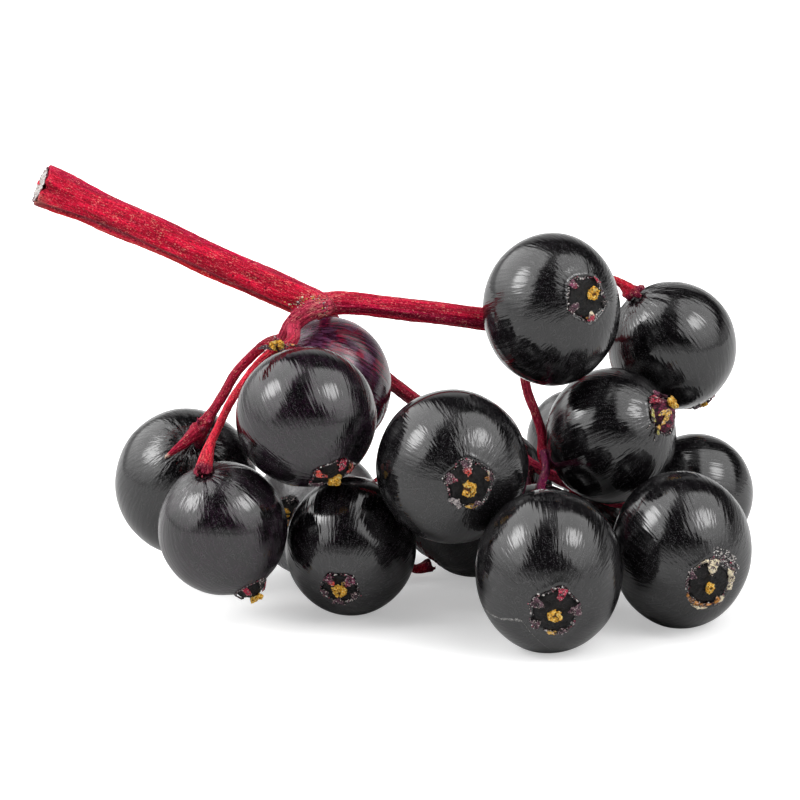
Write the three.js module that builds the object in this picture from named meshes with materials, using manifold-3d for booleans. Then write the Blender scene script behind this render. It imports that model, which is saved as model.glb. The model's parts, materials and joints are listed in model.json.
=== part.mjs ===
// A picked spray of ripe elderberries lying on a level surface: one cut main stem that forks
// into rays, and seventeen berries, each on its own pedicel and each with a dried calyx.
// Millimetres, +Z up. The spray lies along X, its cut end at -X, and rests on z = 0.
import * as THREE from 'three';
import { mergeVertices } from 'three/addons/utils/BufferGeometryUtils.js';
import Module from 'manifold-3d';

const wasm = await Module();
wasm.setup();

// ---- driving dimensions -------------------------------------------------------------------
const GAP = 0.05;                 // clearance left between pieces that touch
const BERRY_SIDES = 16;           // facets round a berry
const BERRY_BANDS = 9;            // facets from its crown to its far pole
const SEPALS = 5;
const CALYX_SIDES = 2 * SEPALS;   // one for each sepal tip and one for each notch
const FLAT_DEPTH = 0.08;          // a berry that rests on the surface is pressed flat by this much

// The calyx is drawn on a berry of radius 1 and takes its berry's size.
const CROWN_HEIGHT = 0.955;       // the berry is cut flat here, under the calyx
const CALYX_UNDERSIDE = 0.976;
const SEPAL_RISE = 0.03;          // how far a sepal stands above the notch beside it
const CALYX_PROFILE = [           // radius, height
  [0, CALYX_UNDERSIDE],
  [0.25, CALYX_UNDERSIDE],        // foot
  [0.3, 0.99],                    // widest, outside the sepals
  [0.27, 1.04],                   // sepal tips
  [0.2, 1.0],                     // groove inside them
  [0.11, 1.03],                   // nectar disc
  [0.1, 1.1],                     // stigma
  [0, 1.13],
];
const SEPAL_TIP = CALYX_PROFILE[3];

const MAIN_STEM_RADIUS = 0.76;
const CUT_END_RADIUS = 1;         // the stem flares where it was pulled from the bush
const RAY_RADIUS = 0.52;
const REAR_RAY_RADIUS = 0.34;
const TWIG_RADIUS = 0.25;         // where a ray ends in pedicels
const PEDICEL_RADIUS = 0.2;
const COLLAR_RADIUS = 0.34;       // a pedicel widens to this at its berry
const COLLAR_LENGTH = 0.5;
const STALK_SIDES = 10;
const PEDICEL_SIDES = 7;
const RING_SPACING = 1;           // facets along a stalk
const SURFACE_BLOCK = { width: 100, depth: 10 };  // stands for the surface under the spray
const SAME_POINT = 1e-5;          // vertices closer than this are one
const ON_TIP_RING = 1e-4;         // a vertex this close to the ring of sepal tips is on it

const COLOURS = {
  berry: { color: 0x131114, roughness: 0.28 },
  calyx: { color: 0x7a3440, roughness: 0.7 },
  stalk: { color: 0xa01c30, roughness: 0.5 },
};

// Centre, half-widths along x, y and z, the way the crown faces, the side the pedicel joins,
// and the pedicel's route from inside its ray to just short of the berry.
const BERRIES = [
  {
    centre: [6.9, 1.6, 13.8],
    size: [3.15, 3.35, 3.5],
    crown: [0.49, -0.8, 0.33],
    seat: [-0.35, 0.88, -0.32],
    route: [[7.0, 6.4, 11.7], [6.4, 5.7, 12.2]],
  },
  {
    centre: [12.7, 7.0, 10.8],
    size: [3.0, 3.0, 3.0],
    crown: [0.45, 0.0, -0.89],
    seat: [-0.59, -0.1, 0.8],
    route: [[7.3, 6.5, 11.7], [8.1, 6.9, 13.0], [9.2, 7.1, 14.0], [10.1, 7.0, 13.9]],
  },
  {
    centre: [9.7, 2.4, 7.65],
    size: [3.0, 3.05, 3.15],
    crown: [0.78, -0.45, 0.43],
    seat: [-0.83, 0.31, -0.47],
    route: [[6.65, 3.4, 6.7], [6.6, 3.6, 6.2]],
  },
  {
    centre: [13.8, 5.1, 4.2],
    size: [2.65, 2.7, 2.8],
    crown: [0.6, 0.7, -0.4],
    seat: [-0.93, 0.36, 0.0],
    route: [[8.0, 4.8, 4.6], [9.5, 5.2, 4.6], [10.4, 5.9, 4.5]],
  },
  {
    rests: true,
    centre: [12.75, -2.1, 3.5],
    size: [3.2, 3.4, 3.6],
    crown: [0.36, -0.9, -0.22],
    seat: [-0.38, 0.9, 0.23],
    route: [[8.0, 4.7, 4.6], [9.4, 4.3, 4.1], [10.6, 3.1, 4.1]],
  },
  {
    rests: true,
    centre: [6.65, -6.15, 3.6],
    size: [3.3, 3.45, 3.7],
    crown: [0.06, -0.96, -0.27],
    seat: [-0.09, 0.96, 0.28],
    route: [
      [6.65, 3.4, 6.9], [6.72, 2.9, 6.4], [6.7, 1.8, 6.1], [6.55, 0.6, 6.1], [6.4, -0.5, 5.9],
      [6.35, -1.7, 5.3],
    ],
  },
  {
    centre: [2.36, -2.4, 7.44],
    size: [3.45, 3.4, 3.5],
    crown: [0.22, -0.98, 0.01],
    seat: [-0.2, 0.98, -0.01],
    route: [[2.4, 5.5, 7.5], [1.9, 3.7, 7.3], [1.6, 2.2, 7.3]],
  },
  {
    centre: [-4.25, -0.8, 9.35],
    size: [3.2, 3.2, 3.2],
    crown: [0.38, -0.62, -0.69],
    seat: [-0.25, 0.74, 0.62],
    route: [[-5.15, 3.9, 12.0], [-5.0, 3.2, 11.75], [-5.1, 2.5, 11.7]],
  },
  {
    centre: [-3.4, 6.0, 9.16],
    size: [3.0, 3.1, 3.2],
    crown: [-0.7, -0.35, 0.62],
    seat: [0.55, 0.6, -0.58],
    route: [[-0.9, 9.2, 8.8], [-0.8, 9.4, 7.8], [-1.0, 8.9, 7.0]],
  },
  {
    centre: [-9.95, 4.7, 4.83],
    size: [3.3, 3.35, 3.45],
    crown: [-0.07, 0.67, -0.74],
    seat: [0.11, -0.67, 0.73],
    route: [
      [-5.4, 4.2, 12.0], [-6.0, 4.6, 11.6], [-7.05, 4.3, 10.75], [-7.7, 3.75, 10.1],
      [-8.2, 3.1, 9.3], [-8.8, 2.5, 8.5],
    ],
  },
  {
    centre: [-8.05, -1.8, 4.4],
    size: [2.95, 3.0, 3.05],
    crown: [0.45, -0.31, -0.84],
    seat: [-0.27, -0.26, 0.93],
    route: [
      [-5.4, 4.1, 11.8], [-6.1, 4.4, 11.1], [-6.75, 3.6, 10.5], [-7.4, 2.2, 9.9], [-7.9, 0.8, 9.3],
      [-8.3, -0.5, 8.7], [-8.7, -1.8, 8.1],
    ],
  },
  {
    rests: true,
    centre: [-2.25, -0.15, 3.15],
    size: [3.0, 3.1, 3.2],
    crown: [-0.16, -0.9, -0.4],
    seat: [0.16, 0.9, 0.4],
    route: [[1.6, 6.4, 7.7], [1.0, 6.1, 7.1], [0.3, 5.6, 6.2], [-0.4, 4.9, 5.4], [-1.0, 4.1, 5.0]],
  },
  {
    rests: true,
    centre: [-3.85, 6.15, 3.0],
    size: [3.05, 3.05, 3.05],
    crown: [-0.45, -0.86, 0.22],
    seat: [0.35, 0.9, 0.25],
    route: [[-1.2, 9.5, 9.2], [-1.6, 10.0, 8.3], [-2.1, 10.2, 7.0], [-2.4, 10.1, 5.6], [-2.5, 9.9, 4.6]],
  },
  {
    rests: true,
    centre: [3.55, 6.45, 3.5],
    size: [3.65, 3.65, 3.65],
    crown: [0.2, 0.75, 0.63],
    seat: [-0.56, -0.2, -0.8],
    route: [
      [1.3, 6.8, 7.85], [0.5, 7.0, 7.5], [-0.2, 7.0, 7.0], [-0.6, 6.4, 6.0], [-0.7, 6.1, 5.0],
      [-0.6, 6.0, 3.8], [-0.4, 5.9, 2.6], [-0.2, 5.8, 1.5], [0.3, 5.7, 0.65],
    ],
  },
  {
    centre: [8.45, 11.6, 5.1],
    size: [2.4, 2.4, 2.45],
    crown: [0.1, 0.9, -0.4],
    seat: [0.0, -0.3, 0.95],
    route: [[7.4, 6.5, 11.6], [7.8, 8.5, 10.7], [8.3, 10.2, 9.2]],
  },
  {
    centre: [6.2, 0.7, 3.35],
    size: [2.6, 2.5, 2.4],
    crown: [0.1, -0.2, -0.97],
    seat: [-0.1, 0.81, 0.57],
    route: [[6.0, 4.2, 5.7], [5.9, 3.8, 5.3]],
  },
  {
    rests: true,
    centre: [9.7, 7.7, 2.4],
    size: [2.4, 2.4, 2.4],
    crown: [0.5, 0.7, -0.3],
    seat: [-0.6, -0.5, 0.62],
    route: [[8.0, 4.8, 4.6], [8.4, 5.9, 4.6]],
  },
];

// The rays, from the cut end outwards. Radii are spread evenly along each route.
const RAYS = {
  main_stem: {
    route: [[-16.4, 3.5, 19.2], [-11.5, 4.0, 16.9], [-7.6, 4.3, 15.0], [-3.9, 4.5, 13.3]],
    radii: [CUT_END_RADIUS, 0.84, 0.8, MAIN_STEM_RADIUS, MAIN_STEM_RADIUS, MAIN_STEM_RADIUS],
  },
  right_ray: {
    route: [[-3.9, 4.5, 13.4], [-2.3, 4.5, 13.4], [0.1, 4.3, 13.2], [3.8, 4.4, 12.7], [4.9, 5.3, 12.4],
      [6.0, 6.1, 12.0], [7.4, 6.6, 11.6]],
    radii: [RAY_RADIUS, RAY_RADIUS, RAY_RADIUS, 0.45],
  },
  left_ray: {
    route: [[-4.0, 4.3, 13.3], [-4.4, 4.25, 12.85], [-4.85, 4.1, 12.35], [-5.25, 3.95, 11.9]],
    radii: [0.46, 0.46, 0.48],
  },
  rear_ray: {
    route: [
      [-3.8, 4.7, 13.4], [-3.6, 6.2, 13.0], [-3.4, 7.9, 12.3], [-2.9, 9.3, 11.1], [-1.6, 9.6, 9.4],
      [0.0, 8.3, 8.4], [1.9, 6.0, 7.6], [3.7, 4.4, 7.1], [5.2, 4.2, 6.4], [6.6, 4.3, 5.5],
      [8.1, 4.8, 4.6],
    ],
    radii: [REAR_RAY_RADIUS, REAR_RAY_RADIUS, REAR_RAY_RADIUS, TWIG_RADIUS, TWIG_RADIUS],
  },
  lower_ray: {
    route: [[7.3, 6.4, 11.7], [6.3, 5.7, 10.9], [5.8, 4.8, 10.1], [5.9, 4.3, 9.3], [6.25, 3.8, 8.4],
      [6.5, 3.6, 7.7], [6.65, 3.4, 6.7]],
    radii: [TWIG_RADIUS, PEDICEL_RADIUS, PEDICEL_RADIUS],
  },
};

// A small aborted flower stalk beside the collar of the tenth berry's pedicel.
const STUB = {
  route: [[-9.3, 2.1, 7.9], [-10.0, 1.7, 7.4], [-10.8, 1.6, 6.8]],
  radii: [0.27, 0.26, 0.18, 0.07],
};

// A flower that never set fruit, on a short stalk at the end of the left ray. Its outline is
// drawn as on a body of radius 1, from its back to its face: radius, height.
const WITHERED_FLOWER = {
  centre: [-5.6, 1.8, 12.05],
  size: [0.36, 0.3, 0.28],
  crown: [-0.35, -0.8, 0.45],
  profile: [[0, -1], [0.5, -0.8], [1, -0.1], [0.85, 0.5], [0.4, 0.8], [0, 0.7]],
};
const FLOWER_STALK = {
  route: [[-4.95, 3.8, 12.0], [-4.75, 3.1, 12.15], [-4.85, 2.5, 12.15], [-5.44, 2.16, 11.85]],
  radii: [0.13, 0.11, 0.12],
};

// ---- helpers ------------------------------------------------------------------------------
const vec = (list) => new THREE.Vector3(...list);
const UP = new THREE.Vector3(0, 1, 0);

function finish(name, geometry, look) {
  geometry.computeVertexNormals();
  const material = new THREE.MeshStandardMaterial({ ...COLOURS[look], metalness: 0 });
  const mesh = new THREE.Mesh(geometry, material);
  mesh.name = name;
  return mesh;
}

function plain(geometry) {
  geometry.deleteAttribute('normal');
  geometry.deleteAttribute('uv');
  return mergeVertices(geometry, SAME_POINT);
}

// Turn a shape drawn on a unit berry or flower, crown along +Y, to its place.
function placeOnBerry(geometry, berry) {
  const turn = new THREE.Quaternion().setFromUnitVectors(UP, vec(berry.crown).normalize());
  geometry.applyQuaternion(turn);
  geometry.scale(...berry.size);
  geometry.translate(...berry.centre);
  return geometry;
}

function berryShape(berry) {
  const crownAngle = Math.acos(CROWN_HEIGHT);
  const profile = [new THREE.Vector2(0, -1)];
  for (let band = 1; band <= BERRY_BANDS; band++) {
    const angle = Math.PI - (band / BERRY_BANDS) * (Math.PI - crownAngle);
    profile.push(new THREE.Vector2(Math.sin(angle), Math.cos(angle)));
  }
  profile.push(new THREE.Vector2(0, CROWN_HEIGHT));
  return placeOnBerry(plain(new THREE.LatheGeometry(profile, BERRY_SIDES)), berry);
}

function turned(profile) {
  const points = profile.map(([radius, height]) => new THREE.Vector2(radius, height));
  return plain(new THREE.LatheGeometry(points, CALYX_SIDES));
}

function calyxSolid(berry) {
  const geometry = turned(CALYX_PROFILE);
  const position = geometry.attributes.position;
  for (let i = 0; i < position.count; i++) {
    const x = position.getX(i);
    const z = position.getZ(i);
    const fromTipRing = Math.hypot(Math.hypot(x, z) - SEPAL_TIP[0], position.getY(i) - SEPAL_TIP[1]);
    if (fromTipRing < ON_TIP_RING) {
      position.setY(i, SEPAL_TIP[1] + SEPAL_RISE * Math.cos(SEPALS * Math.atan2(z, x)));
    }
  }
  return placeOnBerry(geometry, berry);
}

// Evenly spaced radii read at a share t of the length, eased from one to the next.
function radiusAt(radii, t) {
  const steps = radii.length - 1;
  const place = t * steps;
  const index = Math.min(Math.floor(place), steps - 1);
  const share = THREE.MathUtils.smoothstep(place - index, 0, 1);
  return THREE.MathUtils.lerp(radii[index], radii[index + 1], share);
}

// A closed round stalk along a route. With grow, every side and both ends move out by it.
function stalkSolid({ route, radii, collar }, sides, grow = 0) {
  const curve = new THREE.CatmullRomCurve3(route.map(vec), false, 'centripetal');
  const length = curve.getLength();
  const rings = Math.max(3, Math.round(length / RING_SPACING));
  const frames = curve.computeFrenetFrames(rings, false);
  const geometry = plain(new THREE.CylinderGeometry(1, 1, 1, sides, rings));
  const position = geometry.attributes.position;
  for (let i = 0; i < position.count; i++) {
    const t = position.getY(i) + 0.5;
    const ring = Math.round(t * rings);
    const toEnd = (1 - t) * length;
    let radius = radiusAt(radii, t) + grow;
    if (collar) {
      const share = THREE.MathUtils.clamp(1 - toEnd / COLLAR_LENGTH, 0, 1);
      radius += (COLLAR_RADIUS - PEDICEL_RADIUS) * share;
    }
    const centre = curve.getPointAt(t);
    if (ring === 0) {
      centre.addScaledVector(frames.tangents[ring], -grow);
    } else if (ring === rings) {
      centre.addScaledVector(frames.tangents[ring], grow);
    }
    centre.addScaledVector(frames.binormals[ring], radius * position.getX(i));
    centre.addScaledVector(frames.normals[ring], radius * position.getZ(i));
    position.setXYZ(i, centre.x, centre.y, centre.z);
  }
  return geometry;
}

function toManifold(geometry) {
  const vertProperties = new Float32Array(geometry.attributes.position.array);
  const triVerts = new Uint32Array(geometry.index.array);
  const mesh = new wasm.Mesh({ numProp: 3, vertProperties, triVerts });
  mesh.merge();
  return new wasm.Manifold(mesh);
}

function fromManifold(solid) {
  const mesh = solid.getMesh();
  const geometry = new THREE.BufferGeometry();
  geometry.setAttribute('position', new THREE.BufferAttribute(mesh.vertProperties, 3));
  geometry.setIndex(new THREE.BufferAttribute(mesh.triVerts, 1));
  return geometry;
}

// A resting berry's centre goes where FLAT_DEPTH of the berry would be below the surface.
function setDown(berry) {
  const shape = berryShape(berry);
  shape.computeBoundingBox();
  berry.centre[2] -= shape.boundingBox.min.z + FLAT_DEPTH;
}

// A resting berry is flat where it meets the surface.
function berrySolid(berry) {
  const shape = berryShape(berry);
  return berry.rests ? fromManifold(toManifold(shape).subtract(belowSurface)) : shape;
}

// ---- the spray ----------------------------------------------------------------------------
const cluster = new THREE.Group();
const grownStalks = [];           // every stalk so far, with the gap added
const block = new THREE.BoxGeometry(SURFACE_BLOCK.width, SURFACE_BLOCK.width, SURFACE_BLOCK.depth);
const belowSurface = toManifold(plain(block.translate(0, 0, -SURFACE_BLOCK.depth / 2)));

// Each stalk starts inside the one it grows from, and that one is cut away from it.
function addStalk(name, shape, sides) {
  let solid = toManifold(stalkSolid(shape, sides));
  for (const earlier of grownStalks) {
    solid = solid.subtract(earlier);
  }
  grownStalks.push(toManifold(stalkSolid(shape, sides, GAP)));
  cluster.add(finish(name, fromManifold(solid), 'stalk'));
}

// The pedicel meets its berry square on, and stops a gap short of it.
function pedicelShape(berry) {
  const seat = vec(berry.seat).normalize();
  const reach = 1 / seat.clone().divide(vec(berry.size)).length();
  const onBerry = (beyond) => vec(berry.centre).addScaledVector(seat, reach + beyond).toArray();
  const route = [...berry.route, onBerry(COLLAR_LENGTH), onBerry(GAP)];
  return { route, radii: [PEDICEL_RADIUS, PEDICEL_RADIUS], collar: true };
}

for (const [name, shape] of Object.entries(RAYS)) {
  addStalk(name, shape, STALK_SIDES);
}

BERRIES.filter((berry) => berry.rests).forEach(setDown);

BERRIES.forEach((berry, index) => {
  const number = String(index + 1).padStart(2, '0');
  addStalk(`pedicel_${number}`, pedicelShape(berry), PEDICEL_SIDES);
  cluster.add(finish(`berry_${number}`, berrySolid(berry), 'berry'));
  cluster.add(finish(`calyx_${number}`, calyxSolid(berry), 'calyx'));
});

addStalk('flower_stub', STUB, PEDICEL_SIDES);
addStalk('flower_stalk', FLOWER_STALK, PEDICEL_SIDES);
const flower = placeOnBerry(turned(WITHERED_FLOWER.profile), WITHERED_FLOWER);
cluster.add(finish('withered_flower', flower, 'calyx'));

// Origin: on the surface, under the middle of the whole spray.
const box = new THREE.Box3().setFromObject(cluster);
const middle = box.getCenter(new THREE.Vector3());
cluster.position.set(-middle.x, -middle.y, -box.min.z);
cluster.updateMatrixWorld(true);

export default cluster;
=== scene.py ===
import json
import math
from dataclasses import dataclass

import bmesh
import bpy
import numpy as np
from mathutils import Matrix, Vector, noise

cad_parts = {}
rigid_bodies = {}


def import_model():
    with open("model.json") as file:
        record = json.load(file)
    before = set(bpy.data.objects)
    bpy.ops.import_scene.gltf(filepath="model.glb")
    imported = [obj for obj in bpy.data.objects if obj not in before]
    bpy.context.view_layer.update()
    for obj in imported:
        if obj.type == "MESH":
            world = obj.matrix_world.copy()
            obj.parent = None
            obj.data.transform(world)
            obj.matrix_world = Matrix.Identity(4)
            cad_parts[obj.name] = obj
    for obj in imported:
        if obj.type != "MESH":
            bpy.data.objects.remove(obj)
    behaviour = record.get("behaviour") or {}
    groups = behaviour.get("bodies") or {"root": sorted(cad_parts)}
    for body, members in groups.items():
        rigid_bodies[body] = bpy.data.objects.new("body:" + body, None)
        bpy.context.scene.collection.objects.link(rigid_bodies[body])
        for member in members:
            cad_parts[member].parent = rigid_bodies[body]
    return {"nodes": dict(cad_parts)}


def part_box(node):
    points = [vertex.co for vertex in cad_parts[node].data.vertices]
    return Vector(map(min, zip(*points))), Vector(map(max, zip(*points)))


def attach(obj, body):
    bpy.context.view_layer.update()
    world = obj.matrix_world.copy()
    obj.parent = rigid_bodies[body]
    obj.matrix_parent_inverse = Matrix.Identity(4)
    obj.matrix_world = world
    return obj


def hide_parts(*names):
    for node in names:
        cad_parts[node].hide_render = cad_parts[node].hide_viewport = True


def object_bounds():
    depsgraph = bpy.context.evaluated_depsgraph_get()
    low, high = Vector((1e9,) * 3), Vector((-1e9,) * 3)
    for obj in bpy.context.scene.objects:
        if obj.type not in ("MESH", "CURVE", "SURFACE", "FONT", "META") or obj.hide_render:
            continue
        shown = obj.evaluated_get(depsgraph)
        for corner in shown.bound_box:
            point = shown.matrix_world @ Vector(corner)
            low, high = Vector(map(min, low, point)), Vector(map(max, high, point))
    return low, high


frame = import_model()

# A picked spray of ripe elderberries: glossy near-black berries with dried crowns, on ribbed
# crimson stalks, lying on a white surface. Shapes are worked out in millimetres and turned
# into metres when a mesh is made. Numbers said to be for a berry of radius 1 grow with it.
MM = 0.001
for stray in [o for o in bpy.data.objects if o.name in ("Cube", "Light", "Camera")]:
    bpy.data.objects.remove(stray)
CAD_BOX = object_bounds()
BERRY_COUNT = sum(name.startswith("berry_") for name in frame["nodes"])

# ---- sizes in millimetres ------------------------------------------------------------------
VOXEL = 0.0665                # grain of the joined stalk mesh, for under 200,000 triangles
TUBE_SPACING = 0.1            # between the rings of a stalk before joining
TUBE_SIDES = 28
FORK_FLARE = 0.3              # a stalk is this share thicker where it leaves its parent
FORK_FLARE_LENGTH = 0.45
FORK_REACH = 0.9              # a stalk's root is sought this far behind its CAD start
RIB_DEPTH = 0.065             # ribs on a stalk of 1 mm radius
CUT_SLANT = 0.03              # how far the cut end leans towards the front
SURFACE_CLEARANCE = 0.01      # lowest place of a stalk above the white surface
SKIN_SIDES = 144

# The left ray is a ribbed strap over the front of the fork. These places are measured from
# the end of the main stem.
STRAP_ROUTE = [
    (0.5, -0.42, 0.05), (0.2, -0.68, 0.03), (-0.3, -0.75, -0.12), (-0.62, -0.75, -0.32),
    (-1.05, -0.75, -0.76), (-1.35, -0.66, -1.4),
]
STRAP_RADII = [0.4, 0.46, 0.47, 0.45, 0.42, 0.42, 0.38]
STRAP_FLATNESS = 0.68

# Places near the outer ends of two rays, and how much thicker than in the CAD some stalks are.
LEFT_RAY_END = np.array([-6.0, 2.0, 5.0])
LOWER_RAY_END = np.array([7.0, 1.0, 0.0])
THICKER = {"lower_ray": 1.18, "pedicel_10": 1.18, "pedicel_12": 1.1}

KNOB_SIZES = (0.06, 0.12)     # half-widths of the bracts and crumbs above a berry

# The upright bract at the second berry's pedicel, from where the pedicel joins.
BRACT_BERRY = 2
BRACT_PLACE = np.array([0.3, -0.02, 0.42])
BRACT_SIZE = np.array([0.19, 0.13, 0.16])

# On a berry of radius 1.
UNEVENNESS = 0.009            # how far a skin strays from an ellipsoid
WRINKLE = 0.006
SEAT_DIMPLE = 0.045           # depth of the hollow round the pedicel
SEAT_WIDTH = 0.17
LIP_HEIGHT = 0.006            # the swollen lip round a crown, and how far out it is
LIP_PLACE = 0.045
LIP_WIDTH = 0.035
CROWN_DEPTH = 0.016           # from the rim of the crown down to its disc
CORNER_REACH = 0.13           # a crown's ring is this share wider at a sepal
SEPAL_LENGTH = 0.165
SEPAL_WIDTH = 0.075
SEPAL_THICKNESS = 0.012       # half of it
STRIP_WIDTH = 0.02            # half the width of a flake or flap whose width is 1
FLAKE_THICKNESS = 0.016       # half of it
CRUMB_SIZES = (0.004, 0.0135)
STIGMA_RADIUS = 0.05          # from the middle of the stigma to the middle of its tube
STIGMA_TUBE = 0.036
STUMP_SIZE = np.array([0.05, 0.05, 0.07])

FLOWER_SCALE = 3.0            # the withered flower is drawn on a berry of this radius

# Linear colours of dried tissue.
TONES = {
    "dull": (0.12, 0.048, 0.075),
    "rosy": (0.4, 0.05, 0.1),
    "plum": (0.22, 0.03, 0.09),
    "black": (0.008, 0.006, 0.008),
    "crimson": (0.62, 0.02, 0.075),
    "coral": (0.9, 0.09, 0.06),
    "orange": (0.85, 0.34, 0.05),
    "gold": (0.95, 0.56, 0.1),
    "cream": (0.98, 0.86, 0.6),
    "olive": (0.55, 0.5, 0.1),
    "pale": (0.62, 0.56, 0.56),
    "white": (0.92, 0.88, 0.84),
}


# ---- what each berry looks like ------------------------------------------------------------
@dataclass
class Sepal:
    """A dried sepal: its angle in degrees round the crown, seen from outside with 90 at the
    top, how much of its length stands away from the crown, and its tip's tone if it has its
    own."""

    angle: float
    tone: str
    length: float = 1.0
    width: float = 1.0
    stand: float = 0.1
    tip: str = ""


@dataclass
class Flake:
    """A strip of torn tissue that follows the ring of the crown from one angle to another, at
    a share of the ring's radius and raised above the crown."""

    start: float
    end: float
    tone: str
    width: float = 1.0
    radius: float = 1.0
    rise: float = 0.0


class Flap:
    """A torn strip along a route over a crown: each place is across, up and out on a berry of
    radius 1."""

    def __init__(self, tone, width, *route):
        self.tone = tone
        self.width = width
        self.route = route


@dataclass
class Traits:
    """A berry's crown and tints. ring is the crown's radius, dome how far its disc stands out
    and stigma_at where the stigma is from the crown's middle, on a berry of radius 1. tint
    and blush are the skin's shares of purple and red, and purple is the disc's; one more share
    paints a grey highlight on the skin. The stigma's turn and gap are in degrees. collar is
    the radius and length over which the pedicel widens, and knob_rise how far up it its knobs
    are, in millimetres. granules is a patch beside the crown: its start and end in degrees,
    and their count."""

    sepals: tuple
    flakes: tuple = ()
    flaps: tuple = ()
    ring: float = 0.29
    dome: float = 0.03
    tint: float = 0.04
    blush: float = 0.0
    purple: float = 0.0
    dusty: float = 0.0
    stigma_turn: float = 0.0
    stigma_gap: float = 24.0
    stigma_size: float = 1.0
    stigma_at: tuple = (0, 0)
    wrinkled: float = 1.0
    collar: tuple = (0.34, 0.5)
    knobs: int = 8
    knob_size: float = 1.0
    knob_rise: float = 0.3
    granules: tuple = ()


def plain_traits(number):
    """Traits of a berry with five similar sepals."""
    tones = ("dull", "rosy", "dull", "crimson", "rosy")
    sepals = [Sepal(47 * number + 72 * i, tones[(i + number) % 5]) for i in range(5)]
    return Traits(sepals, stigma_turn=67 * number)


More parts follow.
